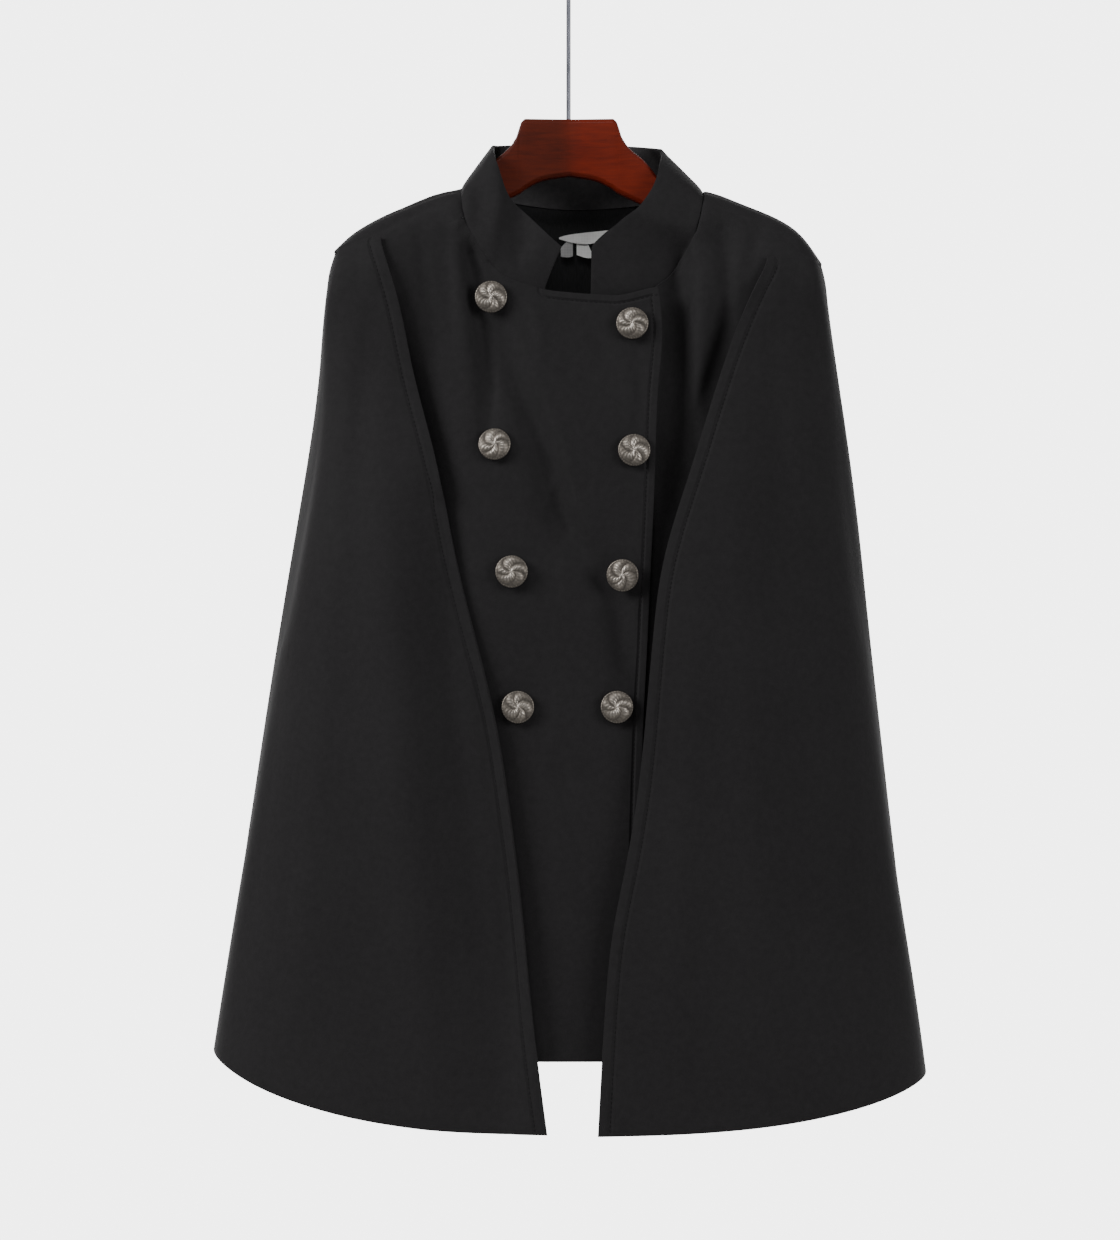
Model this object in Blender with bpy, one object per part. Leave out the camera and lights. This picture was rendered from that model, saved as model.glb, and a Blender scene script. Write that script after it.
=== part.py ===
"""Double-breasted cape coat on a contoured wooden hanger.

The hanger's hook holds everything up. The origin is the inside top of the hook, +Z is up,
the front of the coat faces -Y and +X is the viewer's right. Left and right in the names of
pieces are the wearer's. Tables are in millimetres.
"""

import math
from collections import namedtuple

import bmesh
import bpy
from mathutils import Matrix, Vector
from mathutils.bvhtree import BVHTree

MM = 0.001

# Walls and gaps
CLOTH = 2.2  # coating cloth with its turned edges
COLLAR_CLOTH = 3.0  # two layers
LABEL_CLOTH = 0.6
SEAM_GAP = 0.35
RIDGE_GAP = 0.4  # more gap at the shoulder seam, whose edges lean to each other
UNDERLAP_BACK = 6.0  # how far the under front lies behind the lap's outer face

# Shoulders
SHOULDER_ROUND = 45.0  # below the shoulder line the cloth has turned down by this height
SWEEP = 0.09  # the arms of the hanger lean forward by this share of their length
SWEEP_FADE = 210.0  # height over which the cloth loses the forward lean

# Cape panels
CAP_STAND = 3.8  # how far its outer face stands off the body's at the shoulder seam
CAP_GAP = 0.9  # between the end of the shoulder cap and the cape's sewn edge
EDGE_STAND = 13.0  # how far the free edge stands off the body
EDGE_STAND_HEIGHT = 150.0  # reached this far below the shoulder seam
CAP_BLEND = 70.0  # height over which the cape takes over the shoulder's form
CAP_STAND_WIDTH = 22.0  # outward of the armhole edge it lies down to the sewn seam
ROUNDNESS = 2.4  # exponent of the cape's plan, 2 is an ellipse

# Middle of the neck opening
NECK_X = 9.0
NECK_Y = -5.0

# Hems
BODY_HEM_Z = -900.0
BACK_HEM_Z = -905.0

# Buttons
BUTTON_DIAMETER = 25.5
BUTTON_STAND = 2.4  # shank showing between cloth and rim
BUTTON_HEIGHT = 6.4  # shank and dome together
SHANK_DIAMETER = 6.0
BUTTON_SEAT = 0.3  # between the shank's end and the lap
SEAT_SAMPLES = 8

# Prisms that cut the neck out of the fronts
CUTTER_TOP = -150.0
CUTTER_SIDE = 95.0
CUTTER_REACH = (-120.0, 40.0)

# Hook
WIRE_DIAMETER = 3.6
HOOK_INNER_RADIUS = 20.0
SHANK_X = -0.4

# Hanger block
WOOD_TOP_Z = -157.5

# Grid densities
FRONT_COLUMNS = 21
CAP_COLUMNS = 3
SHOULDER_ROWS = 7
FRONT_ROWS = 17
BACK_COLUMNS = 18
BACK_ROWS = 13
CAPE_COLUMNS = 20
CAPE_ROWS = 17
CAPE_ROW_SPREAD = 1.35  # rows are closer together near the shoulder
FRONT_ROW_SPREAD = 1.15
NECK_CUTS = 26

Ridge = namedtuple("Ridge", "x z")
Level = namedtuple("Level", "z left right seam_left seam_right front back")
Edge = namedtuple("Edge", "z x")
Seam = namedtuple("Seam", "x z")
Collar = namedtuple("Collar", "panel lift base_x base_z top_x top_y top_z")
Fold = namedtuple("Fold", "panel depth width route")
Button = namedtuple("Button", "name x z")
Arm = namedtuple("Arm", "x top bottom")


def table(row_type, *rows):
    return [row_type(*row) for row in rows]


# Shoulder line from the viewer's left tip to the right one; its middle is the neck opening
RIDGE = table(
    Ridge,
    (-188, -272),
    (-186.5, -265.5),
    (-185, -261.8),
    (-182, -258),
    (-175, -252.5),
    (-167, -247),
    (-151, -237.5),
    (-119, -223),
    (-89, -211.5),
    (-50, -200),
    (0, -192),
    (60, -199),
    (109, -215),
    (145, -229.5),
    (161, -236.5),
    (177, -245.5),
    (193, -259),
    (197, -265),
    (200, -274),
    (202, -285),
)

# Outline from the front, the back seams, and the depth before and behind the shoulder line
LEVELS = table(
    Level,
    (-200, -184, 195, -149, 157, 28, 33),
    (-262, -185.5, 196, -150, 158, 32, 38),
    (-285, -192.5, 203.5, -151, 160, 39, 41),
    (-322, -198.5, 209.5, -153, 162, 46, 44),
    (-380, -203, 218, -158, 166, 54, 48),
    (-450, -211.5, 226, -164, 171, 62, 52),
    (-540, -225, 236, -172, 178, 69, 57),
    (-660, -245.5, 249, -184, 187, 76, 62),
    (-780, -265.5, 265.5, -196, 196, 82, 67),
    (-900, -284.5, 284, -208, 206, 87, 72),
    (-960, -293, 292, -214, 211, 89, 74),
)

# Free front edges of the two cape panels
CAPE_RIGHT_EDGE = table(
    Edge,
    (-259, -149),
    (-284, -140.5),
    (-316, -131.5),
    (-369, -121.5),
    (-417, -107.5),
    (-459, -98.5),
    (-532, -85),
    (-582, -72),
    (-639, -57.5),
    (-716, -46),
    (-783, -37.5),
    (-850, -31),
    (-955, -17),
)
CAPE_LEFT_EDGE = table(
    Edge,
    (-276, 156),
    (-302, 143),
    (-326, 132),
    (-355, 121.5),
    (-410, 104),
    (-454, 90.5),
    (-509, 72.5),
    (-575, 64.5),
    (-660, 57),
    (-729, 48),
    (-802, 32),
    (-857, 27.5),
    (-956, 22),
)

# Top of the lap and its neck seam, from the free corner to the shoulder line
LAP_TOP = table(
    Seam,
    (71.5, -303),
    (69.5, -294.5),
    (40, -302),
    (16, -300.5),
    (-19, -297.5),
    (-51, -287.5),
    (-66, -269),
    (-82, -242.5),
    (-88, -222),
    (-89, -211.5),
)
# Free side edge of the lap
LAP_EDGE = table(
    Edge,
    (-303, 71.5),
    (-330, 74.5),
    (-373, 69.5),
    (-444, 67),
    (-513, 64),
    (-581, 60.5),
    (-653, 57),
    (-900, 50),
)
# Top of the under front and its neck seam, from the hidden edge to the shoulder line
UNDER_TOP = table(
    Seam,
    (-62, -312),
    (-30, -311),
    (31, -307),
    (60, -300),
    (79, -285.5),
    (91, -269),
    (100.5, -253),
    (107, -235),
    (108.7, -222),
    (109, -215),
)
UNDER_EDGE = table(Edge, (-312, -62), (-500, -50), (-900, -42))

# Where the shoulder caps end and the capes are sewn on, from the free edge to the tip
CAP_SEAM_RIGHT = table(Seam, (-149, -259), (-160, -260), (-175, -263), (-186, -267.5))
CAP_SEAM_LEFT = table(Seam, (156, -276), (168, -276.3), (185, -276.7), (200, -277.5))

# Armhole edge of each front, hidden under the cape, down to the side seam
ARMHOLE_RIGHT = table(
    Edge,
    (-259, -149),
    (-300, -145),
    (-350, -144),
    (-400, -147),
    (-440, -155),
    (-480, -163),
)
ARMHOLE_LEFT = table(
    Edge,
    (-276, 156),
    (-310, 152),
    (-350, 150),
    (-400, 153),
    (-440, 160),
    (-480, 169),
)

BACK_NECK = table(Seam, (-89, -211.5), (-70, -217), (0, -225), (70, -221), (109, -215))

# Stand collar from the end on the lap, round the back of the neck, to the other end. Its base
# follows the neck seam of the panel that the row names, lifted off it.
COLLAR = table(
    Collar,
    ("lap", 0.9, -20, -297, -6, -41, -263),
    ("lap", 1.9, -51, -287, -19, -39, -251),
    ("lap", 1.6, -66, -269, -36, -34, -233.5),
    ("lap", 0.9, -82, -242.5, -50.5, -27, -217),
    ("lap", 1.2, -86.6, -222, -59, -19, -188),
    ("back", 1.2, -87.2, -212.2, -62, 3, -177.5),
    ("back", 1.5, -80, -214, -59, 12, -176),
    ("back", 1.6, -68, -217.3, -51, 21.5, -175),
    ("back", 0.9, 0, -225, 2, 30, -173),
    ("back", 1.4, 72, -221, 58, 24, -176),
    ("back", 1.4, 97, -217.3, 70, 14.5, -178.5),
    ("back", 1.2, 107.2, -215.8, 75, 5, -181.5),
    ("under", 1.2, 107.2, -223, 72, -20, -196),
    ("under", 1.0, 105.6, -235, 67, -25, -213),
    ("under", 1.0, 100.5, -253, 56, -30, -229.5),
    ("under", 1.2, 91, -269, 46, -35, -237.5),
    ("under", 2.0, 79, -285.5, 36, -37, -246),
    ("under", 2.8, 60, -300, 27, -38.5, -253),
    ("under", 1.5, 17, -308, 17.5, -38.5, -262),
)
COLLAR_INSET = 1.0  # from the neck seam toward the neck
COLLAR_BULGE = 0.8
COLLAR_ROWS = 4
COLLAR_STEPS = 3

# Largest folds: a trough is a positive depth into the panel, a ridge a negative one
FOLDS = [
    Fold("front_right", 4.5, 9, ((-73, -245), (-66, -300), (-60, -370), (-57, -400))),
    Fold("front_right", -2.0, 9, ((-90, -240), (-84, -300), (-76, -400))),
    Fold("front_right", 5.0, 14, ((-50, -335), (-38, -368), (-20, -420), (-7, -474))),
    Fold("front_right", 4.0, 14, ((-7, -474), (14, -504), (34, -535), (43, -595))),
    Fold("front_right", -2.5, 16, ((-22, -345), (0, -420), (20, -475), (50, -520))),
    Fold("front_left", 12.0, 11, ((87, -268), (88, -330), (86, -400), (82, -450))),
    Fold("front_left", -3.0, 8, ((102, -290), (104, -330), (100, -385))),
    Fold("front_left", 6.0, 9, ((121, -250), (126, -302), (112, -360), (99, -410))),
    Fold("cape_right", -3.0, 20, ((-146, -540), (-126, -650), (-110, -730))),
    Fold("cape_right", 6.0, 22, ((-108, -560), (-95, -700), (-84, -860))),
    Fold("cape_right", -2.5, 26, ((-190, -420), (-205, -620), (-215, -800))),
    Fold("cape_left", 3.0, 18, ((150, -420), (165, -620), (180, -880))),
    Fold("cape_left", -2.0, 20, ((115, -520), (110, -700), (105, -860))),
    Fold("back", 6.0, 30, ((-70, -420), (-90, -900))),
    Fold("back", 6.0, 30, ((70, -420), (95, -900))),
    Fold("back", -4.0, 40, ((0, -500), (0, -900))),
]

BUTTONS = table(
    Button,
    ("button_right_1", -61.5, -303.6),
    ("button_left_1", 49.8, -324.8),
    ("button_right_2", -58.3, -420.3),
    ("button_left_2", 50.8, -424.9),
    ("button_right_3", -44.8, -519.9),
    ("button_left_3", 42.5, -522.1),
    ("button_right_4", -39.9, -625.3),
    ("button_left_4", 37.2, -625.3),
)

# Upper and lower outline of the hanger between the arms, the same on both sides
BLOCK = table(
    Arm,
    (0, -157.5, -202.5),
    (20, -157.5, -206),
    (35.5, -157.5, -213.5),
    (38.5, -161, -216),
    (42, -172, -218),
    (48, -181, -221),
    (60, -191.5, -227),
    (75, -210, -237),
    (84, -219.5, -243),
    (92, -222.5, -246),
)
# The arms reach on from there under the shoulders of the coat, which rests on them
ARM_STATIONS = (112, 128, 144, 160, 170, 177)
SHOULDER_REST = 4.2  # top of an arm below the shoulder line
TIP_REST = 9.0
ARM_DEPTH = 26.0
ARM_TIP_DEPTH = 14.0
WOOD_HALF = 8.0
ARM_HALF = 9.0
ARM_TIP_HALF = 7.0
WOOD_CHAMFER = 3.0

# Blank neck label and the tab below it
LABEL = {"x": 14.5, "z": -246.5, "width": 45.0, "height": 12.0, "tilt": 5.5}
TAB = {"x": 6.0, "z": -257.5, "width": 26.0, "height": 15.0, "tilt": 1.0}


def smooth(rows, key, value, at):
    """The column value at a place between the rows: a cubic curve, level past both ends."""
    keys = [getattr(row, key) for row in rows]
    values = [getattr(row, value) for row in rows]
    if keys[0] > keys[-1]:
        keys.reverse()
        values.reverse()
    if at <= keys[0]:
        return values[0]
    if at >= keys[-1]:
        return values[-1]
    i = max(k for k in range(len(keys) - 1) if keys[k] <= at)
    slopes = []
    for k in (i, i + 1):
        before, after = max(k - 1, 0), min(k + 1, len(keys) - 1)
        slopes.append((values[after] - values[before]) / (keys[after] - keys[before]))
    span = keys[i + 1] - keys[i]
    t = (at - keys[i]) / span
    return (
        values[i] * (2 * t**3 - 3 * t**2 + 1)
        + slopes[0] * span * (t**3 - 2 * t**2 + t)
        + values[i + 1] * (3 * t**2 - 2 * t**3)
        + slopes[1] * span * (t**3 - t**2)
    )


def step(low, high, at):
    """0 at low, 1 at high, with soft ends; low may be the larger one."""
    t = min(max((at - low) / (high - low), 0.0), 1.0)
    return t * t * (3 - 2 * t)


def mix(a, b, t):
    return a + (b - a) * t


def along(rows, share):
    """The point at a share of a seam's length, straight between its rows."""
    lengths = [0.0]
    for a, b in zip(rows, rows[1:]):
        lengths.append(lengths[-1] + math.hypot(b.x - a.x, b.z - a.z))
    place = share * lengths[-1]
    for i in range(len(rows) - 1):
        if place <= lengths[i + 1] or i == len(rows) - 2:
            t = (place - lengths[i]) / (lengths[i + 1] - lengths[i])
            return mix(rows[i].x, rows[i + 1].x, t), mix(rows[i].z, rows[i + 1].z, t)


def level(column, z):
    return smooth(LEVELS, "z", column, z)


def ridge_z(x):
    return smooth(RIDGE, "x", "z", x)


def sweep(x, z):
    """Forward lean over the arms of the hanger, gone at the waist."""
    below = ridge_z(x) - z
    return -SWEEP * abs(x) * (1 - step(0, SWEEP_FADE, below))


def turned_down(x, z):
    """0 on the shoulder line and 1 where the cloth hangs straight."""
    drop = ridge_z(x) - z
    t = min(max(drop / SHOULDER_ROUND, 0.0), 1.0)
    return math.sqrt(1 - (1 - t) ** 2)


def fold(panel, x, z):
    """How far the folds push a panel's point in."""
    push = 0.0
    for item in FOLDS:
        if item.panel != panel:
            continue
        near = min(
            off_line(x, z, a, b) for a, b in zip(item.route, item.route[1:])
        )
        push += item.depth * math.exp(-((near / item.width) ** 2))
    return push


def off_line(x, z, a, b):
    dx, dz = b[0] - a[0], b[1] - a[1]
    t = ((x - a[0]) * dx + (z - a[1]) * dz) / (dx * dx + dz * dz)
    t = min(max(t, 0.0), 1.0)
    return math.hypot(x - a[0] - t * dx, z - a[1] - t * dz)


def back_y(x, z):
    """Outer face of the back."""
    middle = mix(level("seam_left", z), level("seam_right", z), 0.5)
    half = (level("seam_right", z) - level("seam_left", z)) / 2
    away = abs(x - middle) / half
    flat = 1 - 0.18 * step(-262, -460, z) * away**3
    return sweep(x, z) + turned_down(x, z) * level("back", z) * flat


def front_y(x, z):
    """Outer face of the two fronts, which turns back to the side seams below the arms."""
    left, right = level("seam_left", z), level("seam_right", z)
    middle, half = (left + right) / 2, (right - left) / 2
    seam_x = left if x < middle else right
    depth = level("front", z)
    side = back_y(seam_x, z) - 2 * CLOTH - 0.6
    away = min(abs(x - middle) / (half - CLOTH), 1.0)
    turn = step(-262, -480, z) * (depth + side) * away**5
    return sweep(x, z) - turned_down(x, z) * depth + turn


def point(x, y, z):
    return Vector((x * MM, y * MM, z * MM))


def new_material(name, colour, roughness, metallic=0.0):
    material = bpy.data.materials.new(name)
    material.use_nodes = True
    shader = material.node_tree.nodes["Principled BSDF"]
    shader.inputs["Base Color"].default_value = (*colour, 1.0)
    shader.inputs["Roughness"].default_value = roughness
    shader.inputs["Metallic"].default_value = metallic
    return material


def new_object(name, mesh, material):
    obj = bpy.data.objects.new(name, mesh)
    bpy.context.scene.collection.objects.link(obj)
    mesh.materials.append(material)
    return obj


def mesh_from(name, vertices, faces):
    mesh = bpy.data.meshes.new(name)
    mesh.from_pydata(vertices, [], faces)
    mesh.update()
    mesh.shade_smooth()
    return mesh


def cloth(name, rows, thickness, material, outward):
    """A wall whose outer face goes through rows of points; a missing point leaves its cells out."""
    vertices, faces, number = [], [], {}
    for j, row in enumerate(rows):
        for i, place in enumerate(row):
            if place is not None:
                number[i, j] = len(vertices)
                vertices.append(place)
    for j in range(len(rows) - 1):
        for i in range(max(len(row) for row in rows) - 1):
            corners = [(i, j), (i, j + 1), (i + 1, j + 1), (i + 1, j)]
            if all(corner in number for corner in corners):
                faces.append([number[corner] for corner in corners])
    mesh = mesh_from(name, vertices, faces)
    middle = mesh.polygons[len(faces) // 2]
    if middle.normal.dot(outward(middle.center)) < 0:
        mesh.flip_normals()
    obj = new_object(name, mesh, material)
    wall = obj.modifiers.new("Wall", "SOLIDIFY")
    wall.thickness = thickness * MM
    wall.offset = -1.0
    wall.use_even_offset = False
    return obj


def shoulder_steps():
    """Shares of the way down the shoulder, close together at the top where it curves most."""
    turn = [math.pi / 2 * j / SHOULDER_ROWS for j in range(SHOULDER_ROWS + 1)]
    return [1 - math.cos(t) for t in turn]


def neck_cutter(name, seam, beyond):
    """Everything above a front's neck seam, as a prism from before to behind the shoulder."""
    outline = [(beyond, seam[0].z)]
    outline += [along(seam, k / NECK_CUTS) for k in range(NECK_CUTS + 1)]
    outline += [(seam[-1].x, CUTTER_TOP), (beyond, CUTTER_TOP)]
    size = len(outline)
    vertices = [point(x, y, z) for y in CUTTER_REACH for x, z in outline]
    faces = [list(range(size)), [2 * size - 1 - k for k in range(size)]]
    for k in range(size):
        n = (k + 1) % size
        faces.append([k, k + size, n + size, n])
    mesh = mesh_from(name, vertices, faces)
    bm = bmesh.new()
    bm.from_mesh(mesh)
    bmesh.ops.recalc_face_normals(bm, faces=bm.faces)
    bm.to_mesh(mesh)
    bm.free()
    obj = bpy.data.objects.new(name, mesh)
    bpy.context.scene.collection.objects.link(obj)
    obj.hide_render = True
    obj.display_type = "WIRE"
    return obj


def front_panel(name, seam, cap_seam, inner_edge, armhole, behind, material):
    """A front: shoulder and cap above, then down to the hem between its free edge and armhole.

    It is laid out up to the shoulder line all the way, and the neck is then cut out of it.
    """
    side = "seam_left" if armhole[0].x < 0 else "seam_right"
    tip = cap_seam[-1].x
    rows = [[] for _ in range(SHOULDER_ROWS + FRONT_ROWS + 1)]
    for i in range(FRONT_COLUMNS + CAP_COLUMNS + 1):
        share = i / FRONT_COLUMNS
        x = mix(seam[0].x, armhole[0].x, share)
        if i > FRONT_COLUMNS:
            x = mix(armhole[0].x, tip, (i - FRONT_COLUMNS) / CAP_COLUMNS)
        z = ridge_z(x)
        low = mix(z - SHOULDER_ROUND, armhole[0].z, step(0.8, 1.0, share))
        if i > FRONT_COLUMNS:
            low = min(smooth(cap_seam, "x", "z", x), z - 1.5)
        heights = [mix(z, low, down) for down in shoulder_steps()]
        for j in range(1, FRONT_ROWS + 1):
            heights.append(mix(low, BODY_HEM_Z, (j / FRONT_ROWS) ** FRONT_ROW_SPREAD))
        for j, here in enumerate(heights):
            if i > FRONT_COLUMNS:
                rows[j].append((x, here) if j <= SHOULDER_ROWS else None)
                continue
            inner = smooth(inner_edge, "z", "x", here)
            outer = smooth(armhole, "z", "x", here)
            if here < armhole[-1].z:
                reach = level(side, here)
                outer = reach - math.copysign(1.7 * CLOTH, reach)
            across = mix(inner, outer, share)
            rows[j].append((across if j > SHOULDER_ROWS else x, here))

    def lift(place):
        if place is None:
            return None
        x, z = place
        y = front_y(x, z) + fold(name, x, z) * turned_down(x, z)
        if behind:
            y += UNDERLAP_BACK * (1 - step(80, 115, x))
            y += fold("front_right", x, z) * (1 - step(72, 92, x))
        return point(x, y - SEAM_GAP - RIDGE_GAP * (1 - turned_down(x, z)), z)

    panel = cloth(
        name,
        [[lift(place) for place in row] for row in rows],
        CLOTH,
        material,
        lambda centre: Vector((0, -1, 0.3)),
    )
    cut = panel.modifiers.new("Neck", "BOOLEAN")
    cut.operation = "DIFFERENCE"
    cut.object = neck_cutter(name + "_neck_cutter", seam, CUTTER_SIDE * (-1 if behind else 1))
    return panel


def back_panel(material):
    """The back: between the two back seams, up to the neck and over to the shoulder line."""
    first, last = CAP_SEAM_RIGHT[-1].x, CAP_SEAM_LEFT[-1].x
    left_end, right_end = LEVELS[1].seam_left, LEVELS[1].seam_right
    count = BACK_COLUMNS + 2 * CAP_COLUMNS
    rows = [[] for _ in range(SHOULDER_ROWS + BACK_ROWS + 1)]
    for i in range(count + 1):
        inside = CAP_COLUMNS <= i <= count - CAP_COLUMNS
        share = (i - CAP_COLUMNS) / BACK_COLUMNS
        if inside:
            x = mix(left_end, right_end, share)
        elif share < 0:
            x = mix(left_end, first, -share * BACK_COLUMNS / CAP_COLUMNS)
        else:
            x = mix(right_end, last, (share - 1) * BACK_COLUMNS / CAP_COLUMNS)
        inside_neck = BACK_NECK[0].x < x < BACK_NECK[-1].x
        z = smooth(BACK_NECK, "x", "z", x) if inside_neck else ridge_z(x)
        seam = CAP_SEAM_RIGHT if x < 0 else CAP_SEAM_LEFT
        edge = step(0.62, 1.0, abs(2 * share - 1))
        low = mix(z - SHOULDER_ROUND, smooth(seam, "x", "z", x), edge)
        low = min(low, z - 1.5)
        for j, down in enumerate(shoulder_steps()):
            rows[j].append((x, mix(z, low, down)))
        for j in range(1, BACK_ROWS + 1):
            if not inside:
                rows[SHOULDER_ROWS + j].append(None)
                continue
            here = mix(low, BACK_HEM_Z, j / BACK_ROWS)
            left = level("seam_left", here) + SEAM_GAP
            right = level("seam_right", here) - SEAM_GAP
            rows[SHOULDER_ROWS + j].append((mix(left, right, share), here))

    def lift(place):
        if place is None:
            return None
        x, z = place
        y = back_y(x, z) - fold("back", x, z) * turned_down(x, z)
        return point(x, y + SEAM_GAP + RIDGE_GAP * (1 - turned_down(x, z)), z)

    return cloth(
        "back",
        [[lift(place) for place in row] for row in rows],
        CLOTH,
        material,
        lambda centre: Vector((0, 1, 0.3)),
    )


def cape_panel(name, edge, cap_seam, armhole, side, hem_side, hem_front, material):
    """A cape: from its free front edge round the side to the back seam."""
    bend = 2 / ROUNDNESS
    top_z = cap_seam[0].z

    def place(turn, z):
        """turn runs from 0 at the free edge through 1 at the side to 2 at the back seam."""
        side_x = level(side, z)
        side_y = sweep(side_x, z)
        below = min(max((top_z - z) / EDGE_STAND_HEIGHT, 0.0), 1.0)
        stand = mix(CAP_STAND, EDGE_STAND, below * (2 - below))
        if turn <= 1:
            angle = turn * math.pi / 2
            edge_x = smooth(edge, "z", "x", z)
            edge_y = front_y(edge_x, z) - stand
            x = mix(edge_x, side_x, math.sin(angle) ** bend)
            y = mix(side_y, edge_y, math.cos(angle) ** bend)
            beyond = abs(x) - abs(smooth(armhole, "z", "x", z))
            cap_y = front_y(x, z) - stand * (1 - step(0, CAP_STAND_WIDTH, beyond))
        else:
            angle = (turn - 1) * math.pi / 2
            seam_x = level("seam_" + side, z)
            seam_y = back_y(seam_x, z) + SEAM_GAP
            seam_x += math.copysign(2 * SEAM_GAP, seam_x)
            x = mix(seam_x, side_x, math.cos(angle) ** bend)
            y = mix(side_y, seam_y, math.sin(angle) ** bend)
            cap_y = back_y(x, z) + SEAM_GAP
        blend = step(0, CAP_BLEND, smooth(cap_seam, "x", "z", x) - z)
        blend = max(blend, step(0.55, 0.05, abs(turn - 1)))
        return x, mix(cap_y, y, blend)

    rows = []
    for j in range(CAPE_ROWS + 1):
        down = (j / CAPE_ROWS) ** CAPE_ROW_SPREAD
        row = []
        for i in range(CAPE_COLUMNS + 1):
            turn = 2 * i / CAPE_COLUMNS
            top_x, _ = place(turn, top_z)
            high = smooth(cap_seam, "x", "z", top_x) - CAP_GAP * (1 + 2 * step(0.5, 0, abs(turn - 1)))
            if turn <= 1:
                front_share = math.cos(turn * math.pi / 2) ** (2 * bend)
                low = mix(hem_side, hem_front, front_share)
            else:
                low = mix(hem_side, BACK_HEM_Z, turn - 1)
            z = mix(high, low, down)
            x, y = place(turn, z)
            if turn < 1:
                y += fold(name, x, z)
            row.append(point(x, y, z))
        rows.append(row)
    sign = -1 if side == "left" else 1
    return cloth(name, rows, CLOTH, material, lambda centre: Vector((sign, 0, 0)))


def collar_base(row):
    """A point of the collar's lower edge, lifted off the neck seam and moved toward the neck."""
    if row.panel == "back":
        y = back_y(row.base_x, row.base_z)
    else:
        y = front_y(row.base_x, row.base_z)
        if row.panel == "under":
            y += UNDERLAP_BACK * (1 - step(80, 115, row.base_x))
            y += fold("front_left", row.base_x, row.base_z)
    inward = Vector((NECK_X - row.base_x, NECK_Y - y, 0)).normalized() * COLLAR_INSET
    return Vector((row.base_x, y, row.base_z + row.lift)) + inward


def stand_collar(material):
    """The collar: rows from the neck seam to the top edge, bulging a little outward."""
    Place = namedtuple("Place", "number x y z")
    bases = [Place(n, *collar_base(row)) for n, row in enumerate(COLLAR)]
    tops = [Place(n, r.top_x, r.top_y, r.top_z) for n, r in enumerate(COLLAR)]
    rows = [[] for _ in range(COLLAR_ROWS + 1)]
    for i in range((len(COLLAR) - 1) * COLLAR_STEPS + 1):
        at = i / COLLAR_STEPS
        base = Vector([smooth(bases, "number", c, at) for c in "xyz"])
        top = Vector([smooth(tops, "number", c, at) for c in "xyz"])
        outward = Vector((base.x - NECK_X, base.y - NECK_Y, 0)).normalized()
        for j in range(COLLAR_ROWS + 1):
            t = j / COLLAR_ROWS
            place = base.lerp(top, t) + outward * COLLAR_BULGE * math.sin(math.pi * t)
            rows[j].append(place * MM)
    return cloth(
        "collar",
        rows,
        COLLAR_CLOTH,
        material,
        lambda centre: Vector((centre.x - NECK_X * MM, centre.y - NECK_Y * MM, 0)),
    )


def lap_normal(x, z):
    """Outward direction of the lap at a button."""
    reach = BUTTON_DIAMETER / 2

    def y(px, pz):
        return front_y(px, pz) + fold("front_right", px, pz)

    across = (y(x + reach, z) - y(x - reach, z)) / (2 * reach)
    down = (y(x, z + reach) - y(x, z - reach)) / (2 * reach)
    return Vector((across, -1, down)).normalized()


def button_mesh():
    """A domed shank button, turned about +Z with the end of its shank at the origin."""
    shank, rim = SHANK_DIAMETER / 2, BUTTON_DIAMETER / 2
    dome = BUTTON_HEIGHT - BUTTON_STAND
    profile = [
        (0, 0),
        (shank, 0),
        (shank, BUTTON_STAND),
        (rim - 1.0, BUTTON_STAND),
        (rim, BUTTON_STAND + 0.9),
        (rim - 0.5, BUTTON_STAND + 0.5 * dome),
        (0.62 * rim, BUTTON_STAND + 0.86 * dome),
        (0, BUTTON_HEIGHT),
    ]
    bm = bmesh.new()
    corners = [bm.verts.new((r * MM, 0, h * MM)) for r, h in profile]
    edges = [bm.edges.new(pair) for pair in zip(corners, corners[1:])]
    bmesh.ops.spin(
        bm,
        geom=corners + edges,
        cent=(0, 0, 0),
        axis=(0, 0, 1),
        angle=2 * math.pi,
        steps=16,
        use_merge=True,
    )
    bmesh.ops.remove_doubles(bm, verts=bm.verts, dist=0.01 * MM)
    bmesh.ops.recalc_face_normals(bm, faces=bm.faces)
    mesh = bpy.data.meshes.new("button")
    bm.to_mesh(mesh)
    bm.free()
    mesh.shade_smooth()
    mesh.set_sharp_from_angle(angle=math.radians(40))
    return mesh


def buttons(lap, material):
    mesh = button_mesh()
    mesh.materials.append(material)
    wall = BVHTree.FromObject(lap, bpy.context.evaluated_depsgraph_get())
    for item in BUTTONS:
        obj = bpy.data.objects.new(item.name, mesh)
        bpy.context.scene.collection.objects.link(obj)
        normal = lap_normal(item.x, item.z)
        turn = normal.to_track_quat("Z", "Y").to_matrix().to_4x4()
        y = front_y(item.x, item.z) + fold("front_right", item.x, item.z)
        start = point(item.x, y, item.z) + normal * BUTTON_DIAMETER * MM
        depths = []
        for k in range(SEAT_SAMPLES):
            angle = 2 * math.pi * k / SEAT_SAMPLES
            rim = Vector((math.cos(angle), math.sin(angle), 0)) * SHANK_DIAMETER / 2 * MM
            depths.append(wall.ray_cast(start + turn.to_3x3() @ rim, -normal)[3])
        seat = start - normal * (min(depths) - BUTTON_SEAT * MM)
        obj.matrix_world = Matrix.Translation(seat) @ turn


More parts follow.
